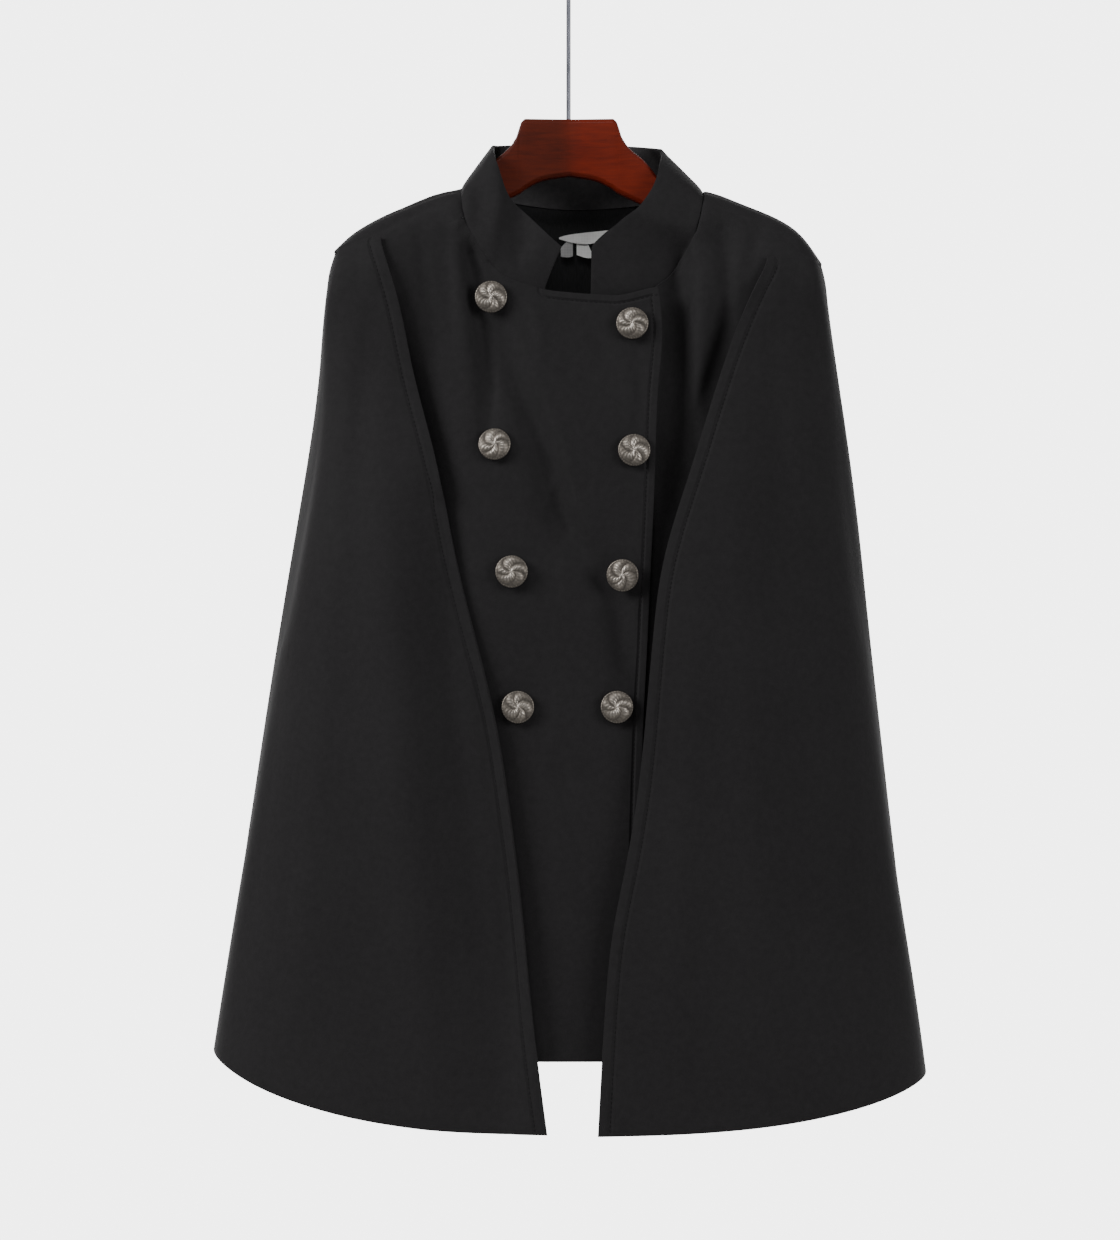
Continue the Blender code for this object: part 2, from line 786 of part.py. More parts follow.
def hanger_section(x):
    """Top, bottom and half thickness of the hanger at a place along it."""
    away = abs(x)
    if away <= BLOCK[-1].x:
        return smooth(BLOCK, "x", "top", away), smooth(BLOCK, "x", "bottom", away), WOOD_HALF
    tip = step(ARM_STATIONS[-3], ARM_STATIONS[-1], away)
    top = ridge_z(x) - mix(SHOULDER_REST, TIP_REST, tip)
    return top, top - mix(ARM_DEPTH, ARM_TIP_DEPTH, tip), mix(ARM_HALF, ARM_TIP_HALF, tip)


def hanger_wood(material):
    """Contoured hanger: chamfered sections from one tip to the other."""
    places = [row.x for row in BLOCK] + list(ARM_STATIONS)
    stations = [-x for x in reversed(places)] + places[1:]
    rings = []
    for x in stations:
        top, bottom, half = hanger_section(x)
        middle = -SWEEP * abs(x)
        cut = min(WOOD_CHAMFER, (top - bottom) / 4)
        outline = [
            (half - cut, top),
            (half, top - cut),
            (half, bottom + cut),
            (half - cut, bottom),
            (-half + cut, bottom),
            (-half, bottom + cut),
            (-half, top - cut),
            (-half + cut, top),
        ]
        rings.append([point(x, middle + y, z) for y, z in outline])
    vertices = [place for ring in rings for place in ring]
    size = len(rings[0])
    faces = [list(range(size)), [len(vertices) - 1 - k for k in range(size)]]
    for r in range(len(rings) - 1):
        for k in range(size):
            n = (k + 1) % size
            faces.append([r * size + k, (r + 1) * size + k, (r + 1) * size + n, r * size + n])
    obj = new_object("hanger_wood", mesh_from("hanger_wood", vertices, faces), material)
    bm = bmesh.new()
    bm.from_mesh(obj.data)
    bmesh.ops.recalc_face_normals(bm, faces=bm.faces)
    bm.to_mesh(obj.data)
    bm.free()
    return obj


def hook_route():
    """Middle of the hook's wire: a straight shank, a bend out, and the round hook over the top."""
    radius = HOOK_INNER_RADIUS + WIRE_DIAMETER / 2
    centre_z = -HOOK_INNER_RADIUS
    bend_z = centre_z - radius - 16
    route = [(SHANK_X, WOOD_TOP_Z + SEAM_GAP), (SHANK_X, -100), (SHANK_X, bend_z)]
    start = math.radians(-52)
    join = (radius * math.cos(start), centre_z + radius * math.sin(start))
    pull_a = (SHANK_X, bend_z + 10)
    pull_b = (join[0] + 12 * math.sin(start), join[1] - 12 * math.cos(start))
    for k in range(1, 6):
        t = k / 6
        corners = (route[2], pull_a, pull_b, join)
        shares = ((1 - t) ** 3, 3 * t * (1 - t) ** 2, 3 * t * t * (1 - t), t**3)
        route.append(tuple(sum(s * c[n] for s, c in zip(shares, corners)) for n in (0, 1)))
    for k in range(25):
        angle = start + math.radians(250) * k / 24
        route.append((radius * math.cos(angle), centre_z + radius * math.sin(angle)))
    return route


def hanger_hook(material):
    curve = bpy.data.curves.new("hanger_hook", "CURVE")
    curve.dimensions = "3D"
    curve.bevel_depth = WIRE_DIAMETER / 2 * MM
    curve.bevel_resolution = 2
    curve.use_fill_caps = True
    route = hook_route()
    spline = curve.splines.new("POLY")
    spline.points.add(len(route) - 1)
    for slot, (x, z) in zip(spline.points, route):
        slot.co = (x * MM, 0, z * MM, 1)
    curve.materials.append(material)
    obj = bpy.data.objects.new("hanger_hook", curve)
    bpy.context.scene.collection.objects.link(obj)
    return obj


def tag(name, size, layer, material):
    """A flat blank label against the inside of the back, turned by its tilt."""
    bpy.ops.mesh.primitive_cube_add(size=1)
    obj = bpy.context.object
    obj.name = name
    x, z = size["x"], size["z"]
    inner = min(
        back_y(px, pz)
        for px in (x - size["width"] / 2, x, x + size["width"] / 2)
        for pz in (z - size["height"] / 2, z + size["height"] / 2)
    )
    y = inner - CLOTH - 1.2 - layer * (LABEL_CLOTH + 0.4)
    scale = Matrix.Diagonal(
        (size["width"] * MM, LABEL_CLOTH * MM, size["height"] * MM, 1)
    )
    turn = Matrix.Rotation(math.radians(-size["tilt"]), 4, "Y")
    obj.data.transform(Matrix.Translation(point(x, y, z)) @ turn @ scale)
    obj.data.materials.append(material)
    return obj


def main():
    for obj in list(bpy.data.objects):
        bpy.data.objects.remove(obj)
    wool = new_material("black_wool", (0.014, 0.012, 0.013), 0.85)
    silver = new_material("antique_silver", (0.30, 0.28, 0.26), 0.42, 1.0)
    wood = new_material("red_brown_wood", (0.085, 0.016, 0.010), 0.3)
    steel = new_material("dark_steel", (0.05, 0.05, 0.055), 0.35, 1.0)
    white = new_material("white_label", (0.62, 0.62, 0.62), 0.8)

    hanger_wood(wood)
    hanger_hook(steel)
    lap = front_panel("front_right", LAP_TOP, CAP_SEAM_RIGHT, LAP_EDGE, ARMHOLE_RIGHT, False, wool)
    front_panel("front_left", UNDER_TOP, CAP_SEAM_LEFT, UNDER_EDGE, ARMHOLE_LEFT, True, wool)
    back_panel(wool)
    cape_panel("cape_right", CAPE_RIGHT_EDGE, CAP_SEAM_RIGHT, ARMHOLE_RIGHT, "left", -899, -955, wool)
    cape_panel("cape_left", CAPE_LEFT_EDGE, CAP_SEAM_LEFT, ARMHOLE_LEFT, "right", -917, -956, wool)
    stand_collar(wool)
    bpy.context.view_layer.update()
    buttons(lap, silver)
    tag("neck_label", LABEL, 0, white)
    tag("size_tab", TAB, 1, white)


main()
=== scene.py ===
"""Black double-breasted cape coat on a red-brown hanger.

Every cloth piece is a thin shell on its solid's outer face, creased in its own sizes.
Metres, +Z up, the front of the coat faces -Y and +X is the viewer's right. Tables are in
millimetres. Left and right in the names of pieces are the wearer's.
"""

import math
from collections import namedtuple

import bmesh
import bpy
import numpy as np
from mathutils import Matrix, Vector, noise
from mathutils.bvhtree import BVHTree
from mathutils.kdtree import KDTree


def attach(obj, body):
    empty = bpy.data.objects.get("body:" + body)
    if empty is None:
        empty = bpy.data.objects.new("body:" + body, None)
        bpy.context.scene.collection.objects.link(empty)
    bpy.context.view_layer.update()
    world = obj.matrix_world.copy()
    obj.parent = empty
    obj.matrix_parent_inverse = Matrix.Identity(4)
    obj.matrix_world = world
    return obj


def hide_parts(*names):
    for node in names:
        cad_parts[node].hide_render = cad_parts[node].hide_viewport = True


MM = 0.001

# Cast buttons: the underside and the crown are this high over the seat. Each is turned by the spin
# against the one before, as sewn by hand, and its rope rim starts at this share of the radius.
BUTTON = {"radius": 12.7, "stand": 2.4, "height": 6.2, "shank": 3.0}
BUTTON_SPIN = 2.1
BUTTON_RINGS = 26
BUTTON_AROUND = 96
BUTTON_RIM = 0.9

# Blank label: across, top and bottom of its outline from its middle; then its two tabs
LABEL_OUTLINE = (
    (-22.5, -1.6, -3.0),
    (-17, 0.2, -4.6),
    (-10, 1.2, -6.4),
    (-2, 2.2, -7.2),
    (6, 3.0, -6.6),
    (13, 3.7, -3.0),
    (19, 4.4, 0.6),
    (22.5, 4.8, 3.2),
)
TAB_LEFT = ((-12.5, 1.0, -6.0), (-9.5, 5.0, -6.6), (-5.5, 7.4, -6.8), (-2.8, 7.5, -5.6))
TAB_RIGHT = ((0.2, 7.5, -4.6), (3.6, 7.5, -5.8), (8.0, 7.0, -7.2), (10.6, 2.0, -7.3), (12.8, -3.6, -7.2))
TAPE_THICKNESS = 0.5
TAPE_CURL = 0.15
TAPE_ROWS = 4

# Camera, level and square to the coat, at the photograph's framing, and the floor: in metres
VIEW_HEIGHT = 0.992
VIEW_DISTANCE = 2.8
VIEW_X = -0.0072
VIEW_Z = -0.5574
FLOOR_Z = -1.25
LIGHT_AIM = (0, 0, -0.45)
WALL_LIGHT = 5.0
ROOM_LIGHT = 0.42

# Cloth
WOOL_THICKNESS = 2.0
COLLAR_THICKNESS = 2.8
EDGE_ROUND = 0.6  # radius of the turned cloth edges
SETTLE_HEIGHT = 1.5  # slow unevenness of the hanging cloth, and how far its swells are apart
SETTLE_SPREAD = 70
ROUTE_END = 0.08  # share of a crease's route where it starts from nothing
# A cape panel's face stays this far before the coat's front, from this height down
LAY_CLEAR = 3.0
LAY_SOFT = 1.0
LAY_BELOW = -320
STITCH_PITCH = 3.6
STITCH_SIZE = (2.7, 0.62, 0.36)
STITCH_LIFT = 0.06
CAPE_STITCH_INSET = 9.0
LAP_STITCH_INSET = 6.5
SHOULDER_STITCH_INSET = 12.0  # 9 past the 3 of the seam allowance
WELD = 0.02
SLIVER = 1.2  # points of the solid's face closer than this are one
SPIKE = math.radians(50)  # a border point sharper than this is no corner of a piece
FOLD_LIMIT = math.radians(52)  # faces that meet at more than this are different sides of a wall
SEAM_SHUT = 0.15
SEAM_FADE = 16.0
SEAM_PASSES = 40
SEAM_RELAX = 12
NECK_CENTRE = (0.009, -0.005)  # metres
CAPE_AXIS = 0.17  # metres

# Corners of the cloth pieces
NECK_RIGHT = (-89, -8.8, -211.5)
NECK_LEFT = (109, -9.8, -215)
COLLAR_END_RIGHT = (-19.4, -41.7, -296.1)
COLLAR_END_LEFT = (16.8, -37.3, -306.5)
SHOULDER_RIGHT = (-186, -17.5, -264)
SHOULDER_LEFT = (200, -18.3, -274)
CAPE_TOP_RIGHT = (-148.7, -44.7, -259.9)
CAPE_TOP_LEFT = (155.5, -52.1, -276.9)
CAPE_BACK_RIGHT = (-150.7, 20.1, -260)
CAPE_BACK_LEFT = (160, 27.1, -277)


def table(row_type, *rows):
    return [row_type(*row) for row in rows]


# Seam allowances that run on behind the next piece: the edge's start, a place on its way and its
# end; then the centre it turns to, in metres, how far in and how far up
Tuck = namedtuple("Tuck", "piece start toward end centre inward rise")
TUCKS = table(
    Tuck,
    ("collar", COLLAR_END_RIGHT, (-60, -38, -276), COLLAR_END_LEFT, NECK_CENTRE, 1.0, -3.5),
    ("cape_right", CAPE_TOP_RIGHT, (-170, -34, -262), CAPE_BACK_RIGHT, (-0.14, -0.005), 1.8, 5.0),
    ("cape_right", CAPE_BACK_RIGHT, (-180, 40, -560), (-209.2, 59.5, -905), (-0.1, -0.05), 6.0, 0),
    ("cape_left", CAPE_TOP_LEFT, (178, -44, -277), CAPE_BACK_LEFT, (0.15, -0.005), 1.8, 5.0),
    ("cape_left", CAPE_BACK_LEFT, (182, 42, -560), (207.1, 59.5, -905), (0.1, -0.05), 6.0, 0),
    ("front_right", NECK_RIGHT, (-120, -10, -225), SHOULDER_RIGHT, (-0.13, 1.5), 3.0, -2.6),
    ("front_left", NECK_LEFT, (140, -11, -228), SHOULDER_LEFT, (0.15, 1.5), 3.0, -2.6),
)
NECK_EDGES = {
    "front_right": (NECK_RIGHT, COLLAR_END_RIGHT),
    "front_left": (NECK_LEFT, COLLAR_END_LEFT),
    "back": (NECK_RIGHT, NECK_LEFT),
}

# A crease on a piece: side is the face it lies on, depth pushes in and a negative one lifts a
# ridge. Left and right are the half widths of its two flanks. The route is seen from that side.
Crease = namedtuple("Crease", "side depth left right route")

# Hanger sections from tip to tip: top, bottom and half thickness
Section = namedtuple("Section", "x top bottom half")
HANGER = table(
    Section,
    (-177, -263, -277, 7),
    (-170, -256.2, -274.6, 7.8),
    (-160, -246.8, -272.8, 9),
    (-144, -238.3, -264.3, 9),
    (-128, -231, -257, 9),
    (-112, -224.3, -250.3, 9),
    (-92, -222.5, -246, 8),
    (-84, -219.5, -243, 8),
    (-75, -210, -237, 8),
    (-60, -191.5, -227, 8),
    (-48, -181, -221, 8),
    (-42, -172, -218, 8),
    (-38.5, -161, -216, 8),
    (-35.5, -157.5, -213.5, 8),
    (-20, -157.5, -206, 8),
    (0, -157.5, -202.5, 8),
    (20, -157.5, -206, 8),
    (35.5, -157.5, -213.5, 8),
    (38.5, -161, -216, 8),
    (42, -172, -218, 8),
    (48, -181, -221, 8),
    (60, -191.5, -227, 8),
    (75, -210, -237, 8),
    (84, -219.5, -243, 8),
    (92, -222.5, -246, 8),
    (112, -220.3, -246.3, 9),
    (128, -226.6, -252.6, 9),
    (144, -233.3, -259.3, 9),
    (160, -240.2, -266.2, 9),
    (170, -248.4, -266.8, 7.8),
    (177, -254.5, -268.5, 7),
)
ARM_SWEEP = 0.09  # how far the arms come forward for each step outward
CHAMFER = 3.0
SANDED = 0.7
HANGER_STEPS = 150

CREASES = {
    "front_right": table(
        Crease,
        ("front", 6.5, 15, 6, ((-80, -225), (-74, -275), (-67, -330), (-63, -372), (-62, -404))),
        ("front", -3.0, 9, 6, ((-92, -230), (-84, -290), (-76, -350), (-72, -400))),
        ("front", 7.5, 11, 12, ((-52, -332), (-40, -370), (-20, -420), (-7, -474), (8, -500))),
        ("front", -4.4, 11, 8, ((-42, -330), (-28, -370), (-8, -420), (6, -470), (24, -505))),
        ("front", 4.6, 9, 13, ((0, -490), (17, -515), (34, -540), (45, -600))),
        ("front", 2.1, 6, 9, ((-118, -250), (-112, -300), (-110, -350))),
        ("front", 1.5, 3.5, 4, ((-92, -223), (-120, -234), (-150, -249), (-177, -266))),
        ("front", 1.7, 9, 6, ((-98, -240), (-96, -285), (-92, -330))),
        ("front", 2.3, 7, 7, ((-12, -668), (-6, -682), (0, -700))),
        ("front", -3.2, 16, 26, ((-14, -640), (-20, -720), (-20, -800), (-22, -880))),
        ("front", 1.9, 12, 16, ((-22, -640), (-24, -740), (-20, -860))),
        ("front", 1.7, 10, 6, ((20, -330), (30, -356), (46, -380))),
        ("front", -1.5, 5, 7, ((-30, -306), (-24, -330), (-22, -352))),
        ("front", 1.3, 5, 7, ((52, -345), (56, -378), (54, -410))),
    ),
    "front_left": table(
        Crease,
        ("front", 3.8, 8, 6, ((74, -290), (76, -312), (75, -350), (70, -400), (66, -440))),
        ("front", 3.5, 9, 8, ((84, -268), (86, -310), (83, -360), (76, -410), (70, -460))),
        ("front", -3.0, 5, 7, ((100, -290), (103, -320), (103, -360), (99, -400))),
        ("front", 3.4, 6, 9, ((121, -252), (127, -300), (121, -335), (112, -362), (100, -400))),
        ("front", -2.3, 9, 6, ((134, -262), (132, -290), (126, -318))),
        ("front", 1.7, 7, 7, ((150, -240), (146, -262), (140, -280))),
        ("front", 1.4, 3.5, 4, ((112, -226), (140, -236), (166, -250), (190, -272))),
        ("front", -1.5, 12, 12, ((20, -700), (22, -800), (18, -890))),
    ),
    "back": table(
        Crease,
        ("back", 3.8, 12, 18, ((-60, -300), (-72, -380), (-88, -520), (-96, -640))),
        ("back", -3.0, 16, 22, ((-30, -420), (-38, -560), (-46, -720), (-50, -880))),
        ("back", 4.2, 18, 12, ((58, -310), (74, -400), (86, -540), (90, -620))),
        ("back", -2.7, 20, 15, ((34, -460), (42, -620), (52, -780), (56, -890))),
        ("back", 2.7, 14, 14, ((-4, -268), (2, -330), (-2, -430), (4, -520))),
        ("back", 2.1, 9, 12, ((-120, -290), (-126, -350), (-134, -430))),
        ("back", 2.1, 12, 9, ((128, -300), (134, -370), (138, -450))),
        ("back", -1.9, 10, 14, ((-20, -300), (-26, -350), (-28, -420))),
        ("back", 1.5, 12, 9, ((12, -600), (16, -700), (10, -820))),
    ),
    "cape_right": table(
        Crease,
        ("front", -6.0, 26, 20, ((-148, -470), (-134, -600), (-120, -740), (-108, -860), (-104, -940))),
        (
            "front", 15.0, 22, 11,
            ((-101, -470), (-86, -560), (-70, -661), (-56, -761), (-49, -848), (-46, -935)),
        ),
        ("front", 2.3, 10, 14, ((-152, -300), (-164, -380), (-170, -480))),
        ("front", -2.1, 18, 14, ((-172, -420), (-190, -560), (-204, -700), (-214, -860))),
        ("front", 2.1, 14, 18, ((-196, -560), (-214, -720), (-228, -880))),
        ("front", -1.7, 12, 16, ((-54, -760), (-48, -850), (-44, -940))),
        ("side", 3.4, 14, 20, ((-20, -300), (-26, -420), (-22, -560))),
        ("side", -3.0, 18, 16, ((12, -380), (6, -540), (14, -720))),
        ("side", 2.7, 18, 14, ((-38, -600), (-44, -740), (-46, -880))),
        ("back", 3.4, 14, 18, ((-176, -320), (-186, -460), (-198, -600))),
        ("back", -2.7, 16, 14, ((-206, -520), (-222, -700), (-236, -860))),
    ),
    "cape_left": table(
        Crease,
        ("front", 2.7, 14, 10, ((158, -330), (166, -420), (174, -540))),
        ("front", -2.3, 14, 18, ((128, -420), (136, -540), (142, -680), (146, -820))),
        ("front", 2.5, 18, 14, ((190, -520), (204, -660), (216, -800), (222, -900))),
        ("front", -1.9, 12, 14, ((96, -560), (92, -680), (84, -800), (80, -920))),
        ("front", 1.7, 12, 12, ((170, -560), (180, -700), (186, -860))),
        ("front", 1.5, 6, 9, ((206, -850), (210, -880), (214, -902))),
        ("front", 1.9, 6, 8, ((160, -282), (152, -300), (144, -318))),
        ("side", 3.0, 18, 14, ((-24, -310), (-30, -430), (-26, -560))),
        ("side", -2.7, 16, 18, ((10, -400), (4, -560), (12, -740))),
        ("side", 2.7, 14, 18, ((-42, -620), (-46, -760), (-48, -900))),
        ("back", 3.4, 18, 14, ((184, -330), (192, -470), (202, -610))),
        ("back", -2.7, 14, 16, ((214, -540), (226, -720), (240, -880))),
    ),
    "collar": table(
        Crease,
        ("front", -1.8, 5, 5, ((-84, -208), (-80, -222), (-77, -240))),
        ("front", -5.4, 12, 7, ((-58, -183), (-55, -227), (-62, -268))),
        ("front", 4.2, 8, 12, ((-43, -196), (-40, -232), (-41, -270))),
        ("front", 1.5, 8, 10, ((24, -258), (34, -272), (46, -284))),
        ("front", 1.8, 9, 7, ((-30, -250), (-38, -268), (-44, -280))),
        ("back", 1.1, 10, 14, ((-10, -180), (-6, -210))),
    ),
}

# Free edges that are topstitched: the piece, its two end corners, and how far in it is sewn
Topstitch = namedtuple("Topstitch", "name piece start end inset")
TOPSTITCHES = table(
    Topstitch,
    ("stitches_cape_right", "cape_right", CAPE_TOP_RIGHT, (-17, -101.8, -955), CAPE_STITCH_INSET),
    ("stitches_cape_left", "cape_left", CAPE_TOP_LEFT, (22, -101.9, -956), CAPE_STITCH_INSET),
    ("stitches_shoulder_right", "front_right", NECK_RIGHT, SHOULDER_RIGHT, SHOULDER_STITCH_INSET),
    ("stitches_shoulder_left", "front_left", NECK_LEFT, SHOULDER_LEFT, SHOULDER_STITCH_INSET),
    ("stitches_lap_top", "front_right", (-17, -41.7, -296.1), (69.6, -44.6, -294.8), LAP_STITCH_INSET),
    ("stitches_lap_side", "front_right", (71.5, -46.4, -303), (50, -87.2, -900), LAP_STITCH_INSET),
)

# Soft studio light: place and size in metres, power in watts
Light = namedtuple("Light", "name place size power")
LIGHTS = table(
    Light,
    ("key", (-2.6, -1.25, 0.9), 1.4, 168),
    ("top", (-0.4, -1.7, 1.7), 0.8, 25),
    ("fill", (2.3, -1.6, 0.1), 1.4, 76),
)


def linear(hex_colour):
    """The linear colour of an sRGB hex value."""
    channels = [int(hex_colour[k : k + 2], 16) / 255 for k in (1, 3, 5)]
    curve = [c / 12.92 if c <= 0.04045 else ((c + 0.055) / 1.055) ** 2.4 for c in channels]
    return (*curve, 1.0)


def add_node(tree, kind, settings=None, **links):
    """A node with its settings, whose inputs take values or other nodes' outputs.

    An input is given by its name, or by i and its number. The setting called stops fills a colour
    ramp with places and hex colours.
    """
    node = tree.nodes.new(kind)
    for key, value in (settings or {}).items():
        if key != "stops":
            setattr(node, key, value)
            continue
        elements = node.color_ramp.elements
        while len(elements) < len(value):
            elements.new(0.5)
        for element, (position, colour) in zip(elements, value):
            element.position = position
            element.color = linear(colour)
    for key, value in links.items():
        numbered = key[0] == "i" and key[1:].isdigit()
        slot = node.inputs[int(key[1:]) if numbered else key.replace("_", " ")]
        if isinstance(value, bpy.types.NodeSocket):
            tree.links.new(value, slot)
        else:
            slot.default_value = value
    return node


def new_material(name):
    """A material with its node tree, its shader and the place on the object that patterns use."""
    material = bpy.data.materials.new(name)
    material.use_nodes = True
    tree = material.node_tree
    place = add_node(tree, "ShaderNodeTexCoord").outputs["Object"]
    return material, tree, tree.nodes["Principled BSDF"], place


def finish_shader(tree, shader, colour, bump=None, **values):
    """Gives the shader its colour and bump, and its own constant values."""
    tree.links.new(colour, shader.inputs["Base Color"])
    if bump:
        tree.links.new(bump.outputs[0], shader.inputs["Normal"])
    for name, value in values.items():
        shader.inputs[name.replace("_", " ")].default_value = value


def milled_wool(name, dark, light):
    """Milled wool coating: the weave is closed by felting, so only a short even nap shows.

    The nap scatters light widely, with a soft lift at grazing angles, and dust-fine flecks.
    """
    material, tree, shader, place = new_material(name)
    # Felted clumps of about 5 mm, nap of 1.2 mm, drawn coarser than the real 0.3 mm to show
    clumps = add_node(tree, "ShaderNodeTexNoise", Vector=place, Scale=1 / (5.0 * MM), Detail=3.0)
    nap = add_node(tree, "ShaderNodeTexNoise", Vector=place, Scale=1 / (1.2 * MM), Detail=2.0)
    broad = add_node(tree, "ShaderNodeTexNoise", Vector=place, Scale=1 / (120 * MM), Detail=2.0)
    share = {"data_type": "FLOAT"}
    mottle = add_node(tree, "ShaderNodeMix", share, i0=0.35, i2=clumps.outputs[0], i3=nap.outputs[0])
    mottle = add_node(tree, "ShaderNodeMix", share, i0=0.3, i2=mottle.outputs[0], i3=broad.outputs[0])
    stops = {"stops": ((0.3, dark), (0.72, light))}
    colour = add_node(tree, "ShaderNodeValToRGB", stops, Fac=mottle.outputs[0]).outputs["Color"]
    fine = add_node(tree, "ShaderNodeBump", Height=nap.outputs[0], Strength=0.25, Distance=0.35 * MM)
    soft = add_node(
        tree,
        "ShaderNodeBump",
        Height=clumps.outputs[0],
        Strength=0.3,
        Distance=0.6 * MM,
        Normal=fine.outputs[0],
    )
    # The attribute holds how far in a point lies, as a share of the inset of its stitches: the
    # cloth is drawn down into a soft line under them
    edge = add_node(tree, "ShaderNodeAttribute", {"attribute_name": "from_edge"}).outputs["Fac"]
    beside = add_node(tree, "ShaderNodeMath", {"operation": "SUBTRACT"}, i0=edge, i1=1.0)
    beside = add_node(tree, "ShaderNodeMath", {"operation": "ABSOLUTE"}, i0=beside.outputs[0])
    smooth = {"interpolation_type": "SMOOTHSTEP"}
    groove = add_node(
        tree, "ShaderNodeMapRange", smooth, i0=beside.outputs[0], i1=0.0, i2=0.32, i3=0.0, i4=1.0
    )
    sewn = add_node(
        tree,
        "ShaderNodeBump",
        Height=groove.outputs[0],
        Strength=1.0,
        Distance=0.8 * MM,
        Normal=soft.outputs[0],
    )
    finish_shader(
        tree,
        shader,
        colour,
        sewn,
        Roughness=0.82,
        Specular_IOR_Level=0.12,
        Sheen_Weight=0.05,
        Sheen_Roughness=0.5,
        Sheen_Tint=linear("#8d8a8c"),
    )
    return material


def satin_lining():
    """Acetate satin lining: smooth filament cloth with a low, broad gloss."""
    material, tree, shader, place = new_material("satin_lining")
    # Threads 1 mm apart, drawn coarser than the real 0.2 mm to show
    weft = add_node(tree, "ShaderNodeMapping", Vector=place, Scale=(1.0, 1.0, 0.12))
    threads = add_node(tree, "ShaderNodeTexNoise", Vector=weft.outputs[0], Scale=1 / (1.0 * MM), Detail=2.0)
    stops = {"stops": ((0.3, "#151516"), (0.7, "#202021"))}
    colour = add_node(tree, "ShaderNodeValToRGB", stops, Fac=threads.outputs[0]).outputs["Color"]
    bump = add_node(tree, "ShaderNodeBump", Height=threads.outputs[0], Strength=0.2, Distance=0.2 * MM)
    finish_shader(tree, shader, colour, bump, Roughness=0.5, Specular_IOR_Level=0.2)
    return material


def buttonhole_thread():
    """Twisted polyester sewing thread: black and as dull as the wool, with a slanting twist."""
    material, tree, shader, place = new_material("buttonhole_thread")
    # A turn of the twist every 1.6 mm, drawn coarser than the real 0.8 mm to show
    twist = add_node(tree, "ShaderNodeTexWave", Vector=place, Scale=1 / (1.6 * MM), Distortion=1.0)
    stops = {"stops": ((0.2, "#060506"), (0.8, "#0e0d0e"))}
    colour = add_node(tree, "ShaderNodeValToRGB", stops, Fac=twist.outputs[0]).outputs["Color"]
    finish_shader(tree, shader, colour, Roughness=0.8, Specular_IOR_Level=0.1)
    return material


def antique_silver():
    """Die-cast button metal, plated and darkened in the hollows, polished bare on what stands out."""
    material, tree, shader, place = new_material("antique_silver")
    hollow = add_node(tree, "ShaderNodeAttribute", {"attribute_name": "hollow"}).outputs["Fac"]
    # Pitting of the casting, about 1.4 mm
    grit = add_node(
        tree, "ShaderNodeTexNoise", Vector=place, Scale=1 / (1.4 * MM), Detail=4.0, Roughness=0.6
    )
    share = {"data_type": "FLOAT"}
    mix = add_node(tree, "ShaderNodeMix", share, i0=0.45, i2=hollow, i3=grit.outputs[0])
    stops = {"stops": ((0.15, "#a39d96"), (0.5, "#625d57"), (0.9, "#2a2725"))}
    colour = add_node(tree, "ShaderNodeValToRGB", stops, Fac=mix.outputs[0]).outputs["Color"]
    rough = add_node(tree, "ShaderNodeMapRange", i0=mix.outputs[0], i1=0.2, i2=0.8, i3=0.3, i4=0.6)
    tree.links.new(rough.outputs[0], shader.inputs["Roughness"])
    bump = add_node(tree, "ShaderNodeBump", Height=grit.outputs[0], Strength=0.25, Distance=0.2 * MM)
    finish_shader(tree, shader, colour, bump, Metallic=1.0)
    return material


def stained_wood():
    """Shaped beech, stained red-brown and lacquered: fine straight grain under a thin dull coat."""
    material, tree, shader, place = new_material("stained_wood")
    # Grain lines run along the arms, 2.4 mm apart, drawn coarser than the real 1 mm to show
    along = add_node(tree, "ShaderNodeMapping", Vector=place, Scale=(0.08, 1.0, 1.0)).outputs[0]
    grain = add_node(
        tree, "ShaderNodeTexNoise", Vector=along, Scale=1 / (2.4 * MM), Detail=5.0, Roughness=0.6
    )
    broad = add_node(tree, "ShaderNodeTexNoise", Vector=along, Scale=1 / (30 * MM), Detail=2.0)
    share = {"data_type": "FLOAT"}
    both = add_node(tree, "ShaderNodeMix", share, i0=0.5, i2=grain.outputs[0], i3=broad.outputs[0])
    # Painted shade and light: the left half, turned from the key light, darker; the right half lighter and
    # redder
    across = add_node(tree, "ShaderNodeSeparateXYZ", Vector=place).outputs["X"]
    half = add_node(tree, "ShaderNodeMapRange", i0=across, i1=-9 * MM, i2=11 * MM)
    shaded_half_stops = {"stops": ((0.3, "#260b05"), (0.5, "#3a1107"), (0.7, "#451608"))}
    lit_half_stops = {"stops": ((0.3, "#340c04"), (0.5, "#4a1206"), (0.7, "#571707"))}
    brown = add_node(tree, "ShaderNodeValToRGB", shaded_half_stops, Fac=both.outputs[0]).outputs["Color"]
    red = add_node(tree, "ShaderNodeValToRGB", lit_half_stops, Fac=both.outputs[0]).outputs["Color"]
    colour = add_node(tree, "ShaderNodeMix", {"data_type": "RGBA"}, i0=half.outputs[0], i6=brown, i7=red)
    bump = add_node(tree, "ShaderNodeBump", Height=grain.outputs[0], Strength=0.12, Distance=0.15 * MM)
    finish_shader(
        tree,
        shader,
        colour.outputs[2],
        bump,
        Roughness=0.5,
        Specular_IOR_Level=0.08,
        Coat_Weight=0.05,
        Coat_Roughness=0.25,
    )
    return material


